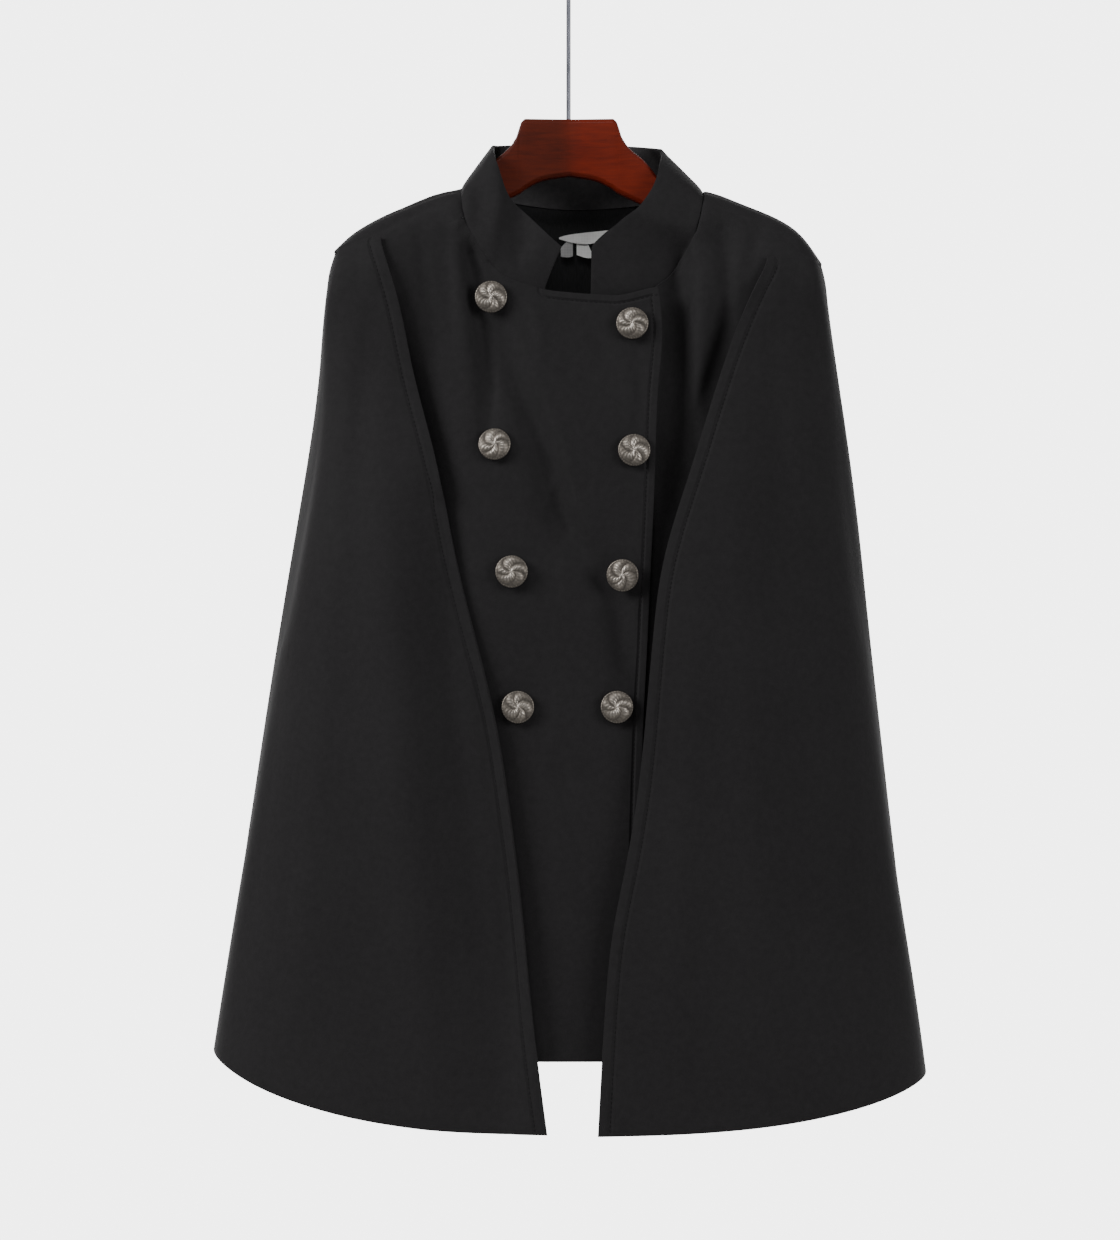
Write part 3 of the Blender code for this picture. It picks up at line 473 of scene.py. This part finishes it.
def plated_wire():
    """Drawn steel wire with a dark nickel plate, finely drawn along its length."""
    material, tree, shader, place = new_material("plated_wire")
    # Drawing lines 0.5 mm apart, drawn coarser than the real ones to show
    drawn = add_node(tree, "ShaderNodeMapping", Vector=place, Scale=(1.0, 1.0, 0.05))
    lines = add_node(tree, "ShaderNodeTexNoise", Vector=drawn.outputs[0], Scale=1 / (0.5 * MM), Detail=2.0)
    stops = {"stops": ((0.3, "#2b2c30"), (0.7, "#46474c"))}
    colour = add_node(tree, "ShaderNodeValToRGB", stops, Fac=lines.outputs[0]).outputs["Color"]
    finish_shader(tree, shader, colour, Metallic=1.0, Roughness=0.32)
    return material


def woven_tape(name, dark, light):
    """Polyester label tape: a fine plain weave, a little greyer where it is handled."""
    material, tree, shader, place = new_material(name)
    # The weave is drawn at 4 mm, much coarser than the real 0.3 mm, to show
    warp = add_node(tree, "ShaderNodeTexWave", {"bands_direction": "X"}, Vector=place, Scale=1 / (4.0 * MM))
    weft = add_node(tree, "ShaderNodeTexWave", {"bands_direction": "Z"}, Vector=place, Scale=1 / (4.0 * MM))
    share = {"data_type": "FLOAT"}
    weave = add_node(tree, "ShaderNodeMix", share, i0=0.5, i2=warp.outputs[0], i3=weft.outputs[0])
    soil = add_node(tree, "ShaderNodeTexNoise", Vector=place, Scale=1 / (8 * MM), Detail=3.0)
    both = add_node(tree, "ShaderNodeMix", share, i0=0.6, i2=weave.outputs[0], i3=soil.outputs[0])
    stops = {"stops": ((0.3, dark), (0.7, light))}
    colour = add_node(tree, "ShaderNodeValToRGB", stops, Fac=both.outputs[0]).outputs["Color"]
    bump = add_node(tree, "ShaderNodeBump", Height=weave.outputs[0], Strength=0.4, Distance=0.15 * MM)
    finish_shader(tree, shader, colour, bump, Roughness=0.75)
    return material


def pale_floor():
    """Painted board of the studio floor: even, matt and off-white."""
    material, tree, shader, _ = new_material("pale_floor")
    shader.inputs["Base Color"].default_value = linear("#e8e7e5")
    shader.inputs["Roughness"].default_value = 0.85
    return material


def deselect():
    bpy.ops.object.select_all(action="DESELECT")


def make_active(obj):
    deselect()
    obj.select_set(True)
    bpy.context.view_layer.objects.active = obj


def apply_modifiers(obj):
    make_active(obj)
    for modifier in list(obj.modifiers):
        bpy.ops.object.modifier_apply(modifier=modifier.name)


def new_object(name, data):
    obj = bpy.data.objects.new(name, data)
    bpy.context.scene.collection.objects.link(obj)
    return obj


def own_mesh(name, bm):
    """The mesh of what was built, with the builder's copy let go."""
    mesh = bpy.data.meshes.new(name)
    bm.to_mesh(mesh)
    bm.free()
    return mesh


def read_points(mesh, what="co"):
    values = np.empty(len(mesh.vertices) * 3)
    mesh.vertices.foreach_get(what, values)
    return values.reshape(-1, 3)


def solid_points(node):
    """The points of a CAD solid, in the shared frame."""
    points = read_points(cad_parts[node].data)
    world = np.array(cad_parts[node].matrix_world)
    return points @ world[:3, :3].T + world[:3, 3]


def write_points(mesh, points):
    mesh.vertices.foreach_set("co", points.reshape(-1))
    mesh.update()


def outward_of(piece, centre):
    """Roughly which way a piece's outer face looks at a point."""
    if piece.startswith("front"):
        return Vector((0, -1, 0.2))
    if piece == "back":
        return Vector((0, 1, 0.2))
    if piece.startswith("cape"):
        side = CAPE_AXIS if centre.x > 0 else -CAPE_AXIS
        return Vector((centre.x - side, centre.y, 0))
    return Vector((centre.x - NECK_CENTRE[0], centre.y - NECK_CENTRE[1], 0))


def even_border(bm):
    """Fills the narrow notches and takes off the needle points that the neck's cut left."""
    for _ in range(6):
        changed = False
        for v in list(bm.verts):
            if not v.is_valid:
                continue
            rim = [e for e in v.link_edges if e.is_boundary]
            if len(rim) != 2:
                continue
            first, last = (e.other_vert(v) for e in rim)
            if (first.co - v.co).angle(last.co - v.co, math.pi) > SPIKE:
                continue
            changed = True
            if sum(loop.calc_angle() for loop in v.link_loops) < math.pi:
                bmesh.ops.delete(bm, geom=list(v.link_faces), context="FACES")
            elif bm.edges.get((first, last)) is None or bm.edges.get((first, last)).is_boundary:
                out = rim[0].link_loops[0].vert is v
                bm.faces.new((first, v, last) if out else (last, v, first))
        if not changed:
            break
    loose = [v for v in bm.verts if not v.link_faces]
    bmesh.ops.delete(bm, geom=loose, context="VERTS")


def outer_face(node):
    """A copy of a cloth solid's outer face, as quads, without its inner face and rims."""
    bm = bmesh.new()
    bm.from_mesh(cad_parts[node].data)
    bmesh.ops.remove_doubles(bm, verts=bm.verts, dist=WELD * MM)
    bmesh.ops.dissolve_degenerate(bm, edges=bm.edges, dist=WELD * MM)
    bm.normal_update()
    seen = set()
    faces_of = []
    for start in bm.faces:
        if start in seen:
            continue
        found = [start]
        seen.add(start)
        for face in found:
            for edge in face.edges:
                if len(edge.link_faces) != 2 or edge.calc_face_angle(0) > FOLD_LIMIT:
                    continue
                for other in edge.link_faces:
                    if other not in seen:
                        seen.add(other)
                        found.append(other)
        faces_of.append(found)
    faces_of.sort(key=lambda faces: -sum(face.calc_area() for face in faces))

    def looks_out(faces):
        return sum(
            face.normal.dot(outward_of(node, face.calc_center_median()).normalized()) * face.calc_area()
            for face in faces
        )

    keep = set(max(faces_of[:2], key=looks_out))
    bmesh.ops.delete(bm, geom=[face for face in bm.faces if face not in keep], context="FACES")
    bmesh.ops.remove_doubles(bm, verts=bm.verts, dist=SLIVER * MM)
    bmesh.ops.dissolve_degenerate(bm, edges=bm.edges, dist=SLIVER / 2 * MM)
    even_border(bm)
    obj = new_object("wool_" + node, own_mesh("wool_" + node, bm))
    make_active(obj)
    bpy.ops.object.mode_set(mode="EDIT")
    bpy.ops.mesh.select_all(action="SELECT")
    bpy.ops.mesh.tris_convert_to_quads(face_threshold=math.radians(40), shape_threshold=math.radians(80))
    bpy.ops.object.mode_set(mode="OBJECT")
    return obj


def tuck_rim(obj, row):
    """Runs an edge on in and up, or down, behind the piece that it is sewn to."""
    bm = bmesh.new()
    bm.from_mesh(obj.data)
    rim = [v for v in bm.verts if v.is_boundary]
    start, toward, end = (Vector(place) * MM for place in (row.start, row.toward, row.end))
    here = min(rim, key=lambda v: (v.co - start).length)
    last = min(rim, key=lambda v: (v.co - end).length)
    steps = [e for e in here.link_edges if e.is_boundary]
    came = min(steps, key=lambda e: (e.other_vert(here).co - here.co).angle(toward - start))
    chain, here = [here], came.other_vert(here)
    while here is not last:
        chain.append(here)
        came = next(e for e in here.link_edges if e.is_boundary and e is not came)
        here = came.other_vert(here)
    chain.append(last)
    grown = []
    for v in chain:
        inside = Vector((row.centre[0] - v.co.x, row.centre[1] - v.co.y, 0)).normalized()
        grown.append(bm.verts.new(v.co + inside * row.inward * MM + Vector((0, 0, row.rise * MM))))
    for a, b, below_b, below_a in zip(chain, chain[1:], grown[1:], grown):
        ahead = bm.edges.get((a, b)).link_loops[0].vert is a
        bm.faces.new((b, a, below_a, below_b) if ahead else (a, b, below_b, below_a))
    bm.to_mesh(obj.data)
    bm.free()


def smoothed(obj, levels):
    subdivide = obj.modifiers.new("Smooth cloth", "SUBSURF")
    subdivide.levels = levels
    subdivide.render_levels = levels
    subdivide.boundary_smooth = "PRESERVE_CORNERS"
    apply_modifiers(obj)


def route_distance(across, down, route):
    """Signed distance to a route, right of it positive, and the share along it."""
    best = np.full(len(across), np.inf)
    signed = np.zeros(len(across))
    share = np.zeros(len(across))
    lengths = [math.dist(a, b) for a, b in zip(route, route[1:])]
    walked = 0.0
    for (ax, az), (bx, bz), length in zip(route, route[1:], lengths):
        dx, dz = bx - ax, bz - az
        t = np.clip(((across - ax) * dx + (down - az) * dz) / length**2, 0, 1)
        ox, oz = across - ax - t * dx, down - az - t * dz
        away = np.hypot(ox, oz)
        nearer = away < best
        best = np.where(nearer, away, best)
        side = np.where(dx * oz - dz * ox > 0, 1.0, -1.0)
        signed = np.where(nearer, side * away, signed)
        share = np.where(nearer, (walked + t * length) / sum(lengths), share)
        walked += length
    return signed, share


def crease(obj, rows):
    """Presses troughs and lifts ridges along the routes, fading at their ends."""
    mesh = obj.data
    points, normals = read_points(mesh), read_points(mesh, "normal")
    push = np.zeros(len(points))
    for row in rows:
        if row.side == "side":
            across, facing = points[:, 1] / MM, np.abs(normals[:, 0])
        else:
            across = points[:, 0] / MM
            facing = -normals[:, 1] if row.side == "front" else normals[:, 1]
        signed, share = route_distance(across, points[:, 2] / MM, row.route)
        width = np.where(signed > 0, row.right, row.left)
        taper = np.sin(np.pi * (ROUTE_END + (1 - 2 * ROUTE_END) * share)) ** 0.7
        shape = np.exp(-((signed / width) ** 2)) * taper
        push += row.depth * shape * np.clip(facing * 1.6, 0, 1)
    write_points(mesh, points - normals * push[:, None] * MM)


def lay_over(obj, under):
    """Keeps a cape panel in front of the coat's front where a fold presses it back."""
    points = read_points(obj.data)
    for k, (x, y, z) in enumerate(points):
        if z > LAY_BELOW * MM or y > 0:
            continue
        place = under.ray_cast(Vector((x, -0.3, z)), Vector((0, 1, 0)))[0]
        if place is None:
            continue
        spare = (place.y / MM - LAY_CLEAR - y / MM) / LAY_SOFT
        points[k, 1] = (place.y / MM - LAY_CLEAR - LAY_SOFT * np.logaddexp(0, spare)) * MM
    write_points(obj.data, points)


def settle(obj, height, spread, seed):
    """Slow unevenness of hanging cloth, a little longer down than across."""
    mesh = obj.data
    points, normals = read_points(mesh), read_points(mesh, "normal")
    shift = Vector((seed * 3.1, seed * 1.7, seed * 2.3))
    stretch = Vector((1 / spread, 1 / spread, 0.45 / spread)) / MM
    swell = np.array([noise.noise(Vector(p * s for p, s in zip(co, stretch)) + shift) for co in points])
    write_points(mesh, points + normals * swell[:, None] * height * MM)


def rim_between(bm, start, end):
    """The border points of a shell between the corners nearest two places, the shorter way."""
    rim = [v for v in bm.verts if v.is_boundary]
    first, last = (min(rim, key=lambda v: (v.co - Vector(place) * MM).length) for place in (start, end))
    chains = []
    for edge in first.link_edges:
        if not edge.is_boundary:
            continue
        chain, here, came = [first], edge.other_vert(first), edge
        while here is not last and here is not first:
            chain.append(here)
            came = next(e for e in here.link_edges if e.is_boundary and e is not came)
            here = came.other_vert(here)
        chains.append(chain + [here])
    return min(chains, key=lambda chain: length_of([v.co for v in chain]))


def border(obj, start, end):
    bm = bmesh.new()
    bm.from_mesh(obj.data)
    places = [v.co.copy() for v in rim_between(bm, start, end)]
    bm.free()
    return places


def length_of(chain):
    return sum((b - a).length for a, b in zip(chain, chain[1:]))


def spaced(chain, pitch):
    """Points along a chain at an even pitch."""
    total = length_of(chain)
    count = max(int(total / pitch), 1)
    places, walked, i = [], 0.0, 0
    for k in range(count + 1):
        target = total * k / count
        while i < len(chain) - 2 and walked + (chain[i + 1] - chain[i]).length < target:
            walked += (chain[i + 1] - chain[i]).length
            i += 1
        span = (chain[i + 1] - chain[i]).length
        places.append(chain[i].lerp(chain[i + 1], min((target - walked) / max(span, 1e-9), 1.0)))
    return places


def mark_edges(obj, chains):
    """Keeps how far each point lies in from a stitched edge, as a share of the stitches' inset."""
    points = read_points(obj.data)
    shares = np.full(len(points), 9.0)
    for chain, inset in chains:
        places = spaced(chain, 1.0 * MM)
        tree = KDTree(len(places))
        for k, place in enumerate(places):
            tree.insert(place, k)
        tree.balance()
        for k, co in enumerate(points):
            away = tree.find(co)[2] / (inset * MM)
            shares[k] = min(shares[k], away)
    attribute = obj.data.attributes.new("from_edge", "FLOAT", "POINT")
    attribute.data.foreach_set("value", np.clip(shares, 0, 4))


def meet_collar(obj, ends, collar_face):
    """Draws a panel's neck edge evenly onto the collar's foot, so that the seam is shut."""
    bm = bmesh.new()
    bm.from_mesh(obj.data)
    neck = rim_between(bm, *ends)
    new = [v.co.copy() for v in neck]
    for _ in range(SEAM_PASSES):
        evened = [b.lerp((a + c) / 2, 0.5) for a, b, c in zip(new, new[1:], new[2:])]
        new = [new[0], *evened, new[-1]]
        for k, co in enumerate(new):
            place, normal, _, _ = collar_face.find_nearest(co)
            new[k] = place + normal * SEAM_SHUT * MM
    tree = KDTree(len(neck))
    moves = [co - v.co for v, co in zip(neck, new)]
    for k, v in enumerate(neck):
        tree.insert(v.co, k)
    tree.balance()
    for v in bm.verts:
        _, k, away = tree.find(v.co)
        share = max(1 - away / (SEAM_FADE * MM), 0)
        v.co += moves[k] * share * share * (3 - 2 * share)
    beside = [v for v in bm.verts if not v.is_boundary and tree.find(v.co)[2] < SEAM_FADE / 2 * MM]
    axes = {"use_axis_x": True, "use_axis_y": True, "use_axis_z": True}
    for _ in range(SEAM_RELAX):
        bmesh.ops.smooth_vert(bm, verts=beside, factor=0.5, **axes)
    bm.to_mesh(obj.data)
    bm.free()


def wool_piece(node, levels, thickness, materials, cut, area, rests_on, collar_face, under):
    """A cloth piece: the shell smoothed, creased and given its wall and rounded edges."""
    obj = outer_face(node)
    for row in TUCKS:
        if row.piece == node:
            tuck_rim(obj, row)
    smoothed(obj, levels)
    settle(obj, SETTLE_HEIGHT, SETTLE_SPREAD, len(node))
    crease(obj, CREASES[node])
    if under:
        lay_over(obj, under)
    if collar_face is None:
        collar_face = BVHTree.FromObject(obj, bpy.context.evaluated_depsgraph_get())
    elif node in NECK_EDGES:
        meet_collar(obj, NECK_EDGES[node], collar_face)
    edges = [(border(obj, row.start, row.end), row.inset) for row in TOPSTITCHES if row.piece == node]
    mark_edges(obj, edges)
    shell = BVHTree.FromObject(obj, bpy.context.evaluated_depsgraph_get())
    for material in materials:
        obj.data.materials.append(material)
    wall = obj.modifiers.new("Wall", "SOLIDIFY")
    wall.thickness = thickness * MM
    wall.offset = -1.0
    wall.use_even_offset = False
    wall.material_offset = len(materials) - 1
    wall.material_offset_rim = 0
    turned = obj.modifiers.new("Turned edge", "BEVEL")
    turned.width = EDGE_ROUND * MM
    turned.segments = 2
    turned.limit_method = "ANGLE"
    turned.angle_limit = math.radians(60)
    apply_modifiers(obj)
    bpy.ops.object.shade_smooth()
    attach(obj, "root")
    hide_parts(node)
    return obj, shell, edges, collar_face


def walk_in(shell, a, b, inset, middle):
    """The place that lies the inset in from an edge, measured along the cloth."""
    tangent = (b - a).normalized()
    here = (a + b) / 2
    steps = math.ceil(inset / 2)
    for _ in range(steps):
        place, normal, _, _ = shell.find_nearest(here)
        inward = normal.cross(tangent).normalized()
        if inward.dot(middle - place) < 0:
            inward.negate()
        here = place + inward * inset / steps * MM
    return here


def stitch_line(name, cloth, shell, chain, inset, material):
    """A row of stitches sewn into the cloth beside an edge."""
    deselect()
    bpy.ops.mesh.primitive_uv_sphere_add(segments=8, ring_count=5, radius=0.5)
    stitch = bpy.context.object
    stitch.data.transform(Matrix.Diagonal((*(size * MM for size in STITCH_SIZE), 1)))
    shape = stitch.data
    middle = sum((Vector(corner) for corner in cloth.bound_box), Vector()) / 8
    inside = [walk_in(shell, a, b, inset, middle) for a, b in zip(chain, chain[1:])]
    bm = bmesh.new()
    places = spaced(inside, STITCH_PITCH * MM)
    for a, b in zip(places, places[1:]):
        place, normal, _, _ = shell.find_nearest((a + b) / 2)
        along = (b - a).normalized()
        up = (normal - along * normal.dot(along)).normalized()
        turn = Matrix((along, up.cross(along), up)).transposed().to_4x4()
        first = len(bm.verts)
        bm.from_mesh(shape)
        bm.verts.ensure_lookup_table()
        sewn = Matrix.Translation(place + up * STITCH_LIFT * MM) @ turn
        bmesh.ops.transform(bm, matrix=sewn, verts=bm.verts[first:])
    bpy.data.objects.remove(stitch)
    obj = new_object(name, own_mesh(name, bm))
    obj.data.materials.append(material)
    obj.data.shade_smooth()
    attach(obj, "root")
    return obj


def button_shape():
    """A domed cast button along +Z, shank end at the origin: thin rope rim and swirl of petals."""
    radius, stand, height, shank = BUTTON.values()
    under = stand + 1.0
    angles = [2 * math.pi * k / BUTTON_AROUND for k in range(BUTTON_AROUND)]
    bm = bmesh.new()
    hollow = bm.verts.layers.float.new("hollow")

    def point(r, angle, z, deep):
        v = bm.verts.new((r * math.cos(angle) * MM, r * math.sin(angle) * MM, z * MM))
        v[hollow] = deep
        return v

    lift, deep = relief(0.0, 0.0)
    rows = [[point(0.0, 0.0, height + lift, deep)] * BUTTON_AROUND]
    for j in range(1, BUTTON_RINGS + 1):
        share = j / BUTTON_RINGS
        dome = under + (height - under) * math.sqrt(max(1 - (0.93 * share) ** 2.4, 0))
        row = []
        for angle in angles:
            lift, deep = relief(share, angle)
            row.append(point(radius * share, angle, dome + lift, deep))
        rows.append(row)
    for r, z in ((radius, stand + 0.9), (radius - 0.9, stand), (shank, stand), (shank, 0.0)):
        rows.append([point(r, angle, z, 0.9) for angle in angles])
    for upper, lower in zip(rows, rows[1:]):
        for k in range(BUTTON_AROUND):
            n = (k + 1) % BUTTON_AROUND
            corners = [upper[k], lower[k], lower[n], upper[n]]
            if upper[k] is upper[n]:
                corners = corners[:3]
            bm.faces.new(corners)
    bm.faces.new(list(reversed(rows[-1])))
    bmesh.ops.recalc_face_normals(bm, faces=bm.faces)
    mesh = own_mesh("cast_button", bm)
    mesh.shade_smooth()
    return mesh


def relief(share, angle):
    """Lift of the cast pattern in mm and how deep in a hollow a point lies."""
    if share > BUTTON_RIM:
        across = (share - 0.95) / 0.05
        bead = 0.5 + 0.5 * math.cos(36 * angle + 9 * across)
        swell = max(1 - across * across, 0)
        return 0.35 * swell * (0.35 + 0.65 * bead), 1 - 0.6 * swell * bead
    petal = abs(math.cos(2.5 * angle + 3.4 * share + 0.5 * math.sin(2 * angle)))
    veins = 0.5 + 0.5 * math.cos(18 * angle - 16 * share)
    body = math.sin(math.pi * min(share / BUTTON_RIM, 1.0)) ** 0.6
    knob = math.exp(-((share / 0.14) ** 2))
    height = 0.75 * body * petal * (0.65 + 0.35 * veins) + 0.7 * knob
    return height - 0.35 * (1 - petal) * body, 1 - min(height / 0.75, 1.0)


def fit_button(node, shape, spin):
    """Turns a button onto its solid: same seat and same axis, sewn on at its own angle."""
    points = solid_points(node)
    centre = points.mean(axis=0)
    _, _, axes = np.linalg.svd(points - centre, full_matrices=False)
    axis = Vector(axes[2])
    if axis.y > 0:
        axis.negate()
    heights = (points - centre) @ np.array(axis)
    seat = Vector(centre) + axis * float(heights.min())
    turn = axis.to_track_quat("Z", "Y").to_matrix().to_4x4() @ Matrix.Rotation(spin, 4, "Z")
    mesh = shape.copy()
    mesh.transform(Matrix.Translation(seat) @ turn)
    return mesh


def buttons(material):
    shape = button_shape()
    shape.materials.append(material)
    for k, node in enumerate(sorted(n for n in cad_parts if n.startswith("button_"))):
        obj = new_object("cast_" + node, fit_button(node, shape, BUTTON_SPIN * k))
        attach(obj, "root")
        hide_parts(node)


def curve_through(places, values, at):
    """A curve through the values with no overshoot, and a corner where places are close."""
    steps = [(v1 - v0) / (p1 - p0) for p0, p1, v0, v1 in zip(places, places[1:], values, values[1:])]
    slopes = [steps[0]]
    for a, b in zip(steps, steps[1:]):
        slopes.append(0.0 if a * b <= 0 else 2 * a * b / (a + b))
    slopes.append(steps[-1])
    k = max(i for i, p in enumerate(places[:-1]) if p <= at + 1e-9)
    width = places[k + 1] - places[k]
    t = (at - places[k]) / width
    start, end = values[k], values[k + 1]
    return (
        (2 * t**3 - 3 * t**2 + 1) * start
        + (t**3 - 2 * t**2 + t) * width * slopes[k]
        + (3 * t**2 - 2 * t**3) * end
        + (t**3 - t**2) * width * slopes[k + 1]
    )


def hanger(material):
    """Shaped wooden hanger: sections close together along the arms, with rounded arrises."""
    bm = bmesh.new()
    rows = []
    corners = [row.x for row in HANGER]
    reach = corners[-1] - corners[0]
    even = {corners[0] + reach * k / HANGER_STEPS for k in range(HANGER_STEPS + 1)}
    free = {x for x in even if min(abs(x - corner) for corner in corners) > 0.4}
    places = sorted(free | set(corners))
    for x in places:
        side = [row for row in HANGER if row.x * (1 if x > 0 else -1) >= 0]
        at = [row.x for row in side]
        top = curve_through(at, [row.top for row in side], x)
        bottom = curve_through(at, [row.bottom for row in side], x)
        half = curve_through(at, [row.half for row in side], x)
        middle = -ARM_SWEEP * abs(x)
        outline = (
            (half - CHAMFER, top),
            (half, top - CHAMFER),
            (half, bottom + CHAMFER),
            (half - CHAMFER, bottom),
            (CHAMFER - half, bottom),
            (-half, bottom + CHAMFER),
            (-half, top - CHAMFER),
            (CHAMFER - half, top),
        )
        rows.append([bm.verts.new(Vector((x, middle + y, z)) * MM) for y, z in outline])
    for a, b in zip(rows, rows[1:]):
        for c in range(8):
            n = (c + 1) % 8
            bm.faces.new((a[c], b[c], b[n], a[n]))
    bm.faces.new(rows[0])
    bm.faces.new(list(reversed(rows[-1])))
    bmesh.ops.recalc_face_normals(bm, faces=bm.faces)
    obj = new_object("shaped_hanger", own_mesh("shaped_hanger", bm))
    obj.data.materials.append(material)
    arris = obj.modifiers.new("Sanded arris", "BEVEL")
    arris.width = SANDED * MM
    arris.segments = 2
    arris.limit_method = "ANGLE"
    arris.angle_limit = math.radians(28)
    apply_modifiers(obj)
    bpy.ops.object.shade_smooth_by_angle(angle=math.radians(30))
    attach(obj, "root")
    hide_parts("hanger_wood")


def label_tape(name, node, outline, material):
    """A woven label: a flat outline in mm about the solid's middle, with a slight curl."""
    middle = Vector(solid_points(node).mean(axis=0))
    bm = bmesh.new()
    columns = []
    for x, top, bottom in outline:
        column = []
        for k in range(TAPE_ROWS + 1):
            z = top + (bottom - top) * k / TAPE_ROWS
            curl = TAPE_CURL * math.sin(x * 0.35 + 0.4 * k)
            column.append(bm.verts.new(middle + Vector((x, curl, z)) * MM))
        columns.append(column)
    for a, b in zip(columns, columns[1:]):
        for k in range(TAPE_ROWS):
            bm.faces.new((a[k], b[k], b[k + 1], a[k + 1]))
    bmesh.ops.recalc_face_normals(bm, faces=bm.faces)
    if bm.faces[:][0].normal.y > 0:
        bmesh.ops.reverse_faces(bm, faces=bm.faces)
    obj = new_object(name, own_mesh(name, bm))
    obj.data.materials.append(material)
    smooth_tape = obj.modifiers.new("Smooth tape", "SUBSURF")
    smooth_tape.levels = smooth_tape.render_levels = 2
    smooth_tape.boundary_smooth = "PRESERVE_CORNERS"
    tape = obj.modifiers.new("Tape", "SOLIDIFY")
    tape.thickness = TAPE_THICKNESS * MM
    tape.offset = 0
    apply_modifiers(obj)
    bpy.ops.object.shade_smooth_by_angle(angle=math.radians(40))
    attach(obj, "root")
    return obj


def camera_and_light():
    camera = bpy.data.cameras.new("photo_camera")
    obj = new_object("photo_camera", camera)
    camera.sensor_fit = "VERTICAL"
    camera.sensor_height = 36
    camera.lens = camera.sensor_height * VIEW_DISTANCE / VIEW_HEIGHT
    obj.location = (VIEW_X, -VIEW_DISTANCE, VIEW_Z)
    obj.rotation_euler = (math.radians(90), 0, 0)
    bpy.context.scene.camera = obj

    # A pale wash of light behind the coat, and a darker room before it
    world = bpy.data.worlds.new("studio")
    bpy.context.scene.world = world
    world.use_nodes = True
    tree = world.node_tree
    looking = add_node(tree, "ShaderNodeTexCoord").outputs["Generated"]
    toward = add_node(tree, "ShaderNodeSeparateXYZ", Vector=looking)
    strength = add_node(
        tree,
        "ShaderNodeMapRange",
        {"interpolation_type": "SMOOTHSTEP"},
        i0=toward.outputs["Y"],
        i1=0.55,
        i2=0.95,
        i3=ROOM_LIGHT,
        i4=WALL_LIGHT,
    )
    background = tree.nodes["Background"]
    background.inputs["Color"].default_value = linear("#f8f8f8")
    tree.links.new(strength.outputs[0], background.inputs["Strength"])
    for row in LIGHTS:
        light = bpy.data.lights.new(row.name, "AREA")
        light.size = row.size
        light.energy = row.power
        lamp = new_object(row.name, light)
        lamp.location = row.place
        aim = Vector(LIGHT_AIM) - Vector(row.place)
        lamp.rotation_euler = aim.to_track_quat("-Z", "Y").to_euler()


def floor():
    """Pale floor under the coat, below the photograph's frame."""
    deselect()
    place = (0, 0, FLOOR_Z - 0.01)
    bpy.ops.mesh.primitive_cylinder_add(vertices=96, radius=0.95, depth=0.02, location=place)
    slab = bpy.context.object
    slab.name = "floor"
    slab.data.materials.append(pale_floor())


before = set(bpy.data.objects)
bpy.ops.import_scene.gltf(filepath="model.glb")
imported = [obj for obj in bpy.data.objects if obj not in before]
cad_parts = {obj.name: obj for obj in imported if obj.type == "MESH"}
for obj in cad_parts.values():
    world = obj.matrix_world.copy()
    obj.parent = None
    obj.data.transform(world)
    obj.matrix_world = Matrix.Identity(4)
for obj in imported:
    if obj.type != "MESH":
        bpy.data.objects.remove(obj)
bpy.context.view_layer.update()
camera_and_light()
floor()

wool = milled_wool("milled_wool", "#0e0d0e", "#161516")
# Painted light: the collar's inside is a lighter copy of the same wool, for light reaching into the neck
facing = milled_wool("collar_inside_lightened_wool", "#262526", "#383738")
lining = satin_lining()
thread = buttonhole_thread()

PIECES = {
    # The collar's inner wall takes the lighter copy of the wool, as painted light
    "collar": (2, COLLAR_THICKNESS, (wool, facing), (0.50, 0.05), None, ["wool_back"]),
    "front_right": (3, WOOL_THICKNESS, (wool, lining), (0.32, 0.70), 0.185, ["hanger_wood"]),
    "front_left": (3, WOOL_THICKNESS, (wool, lining), (0.32, 0.70), 0.175, ["hanger_wood"]),
    "back": (2, WOOL_THICKNESS, (wool, lining), (0.43, 0.70), 0.255, ["hanger_wood"]),
    "cape_right": (3, WOOL_THICKNESS, (wool, lining), (0.42, 0.72), 0.2, ["wool_front_right"]),
    "cape_left": (3, WOOL_THICKNESS, (wool, lining), (0.42, 0.72), 0.2, ["wool_front_left"]),
}
collar_face = None
shells = {}
for node, settings in PIECES.items():
    under = shells.get(node.replace("cape", "front"))
    cloth, shell, edges, collar_face = wool_piece(node, *settings, collar_face, under)
    shells[node] = shell
    for row, (chain, inset) in zip([t for t in TOPSTITCHES if t.piece == node], edges):
        stitch_line(row.name, cloth, shell, chain, inset, thread)

buttons(antique_silver())
hanger(stained_wood())
tape = woven_tape("white_tape", "#e6e6e4", "#fbfbf9")
# Painted shade: the left size tab is a grey copy of the white tape, for the shade where it folds away
shaded_tab_tape = woven_tape("shaded_tab_tape", "#9a9a9b", "#bcbcbb")
label = label_tape("woven_label", "neck_label", LABEL_OUTLINE, tape)
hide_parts("neck_label")
tabs = [
    label_tape("woven_tab_left", "size_tab", TAB_LEFT, shaded_tab_tape),
    label_tape("woven_tab_right", "size_tab", TAB_RIGHT, tape),
]
for tab in tabs:
    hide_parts("size_tab")

wire = plated_wire()
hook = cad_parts["hanger_hook"]
for slot in hook.material_slots:
    slot.material = wire
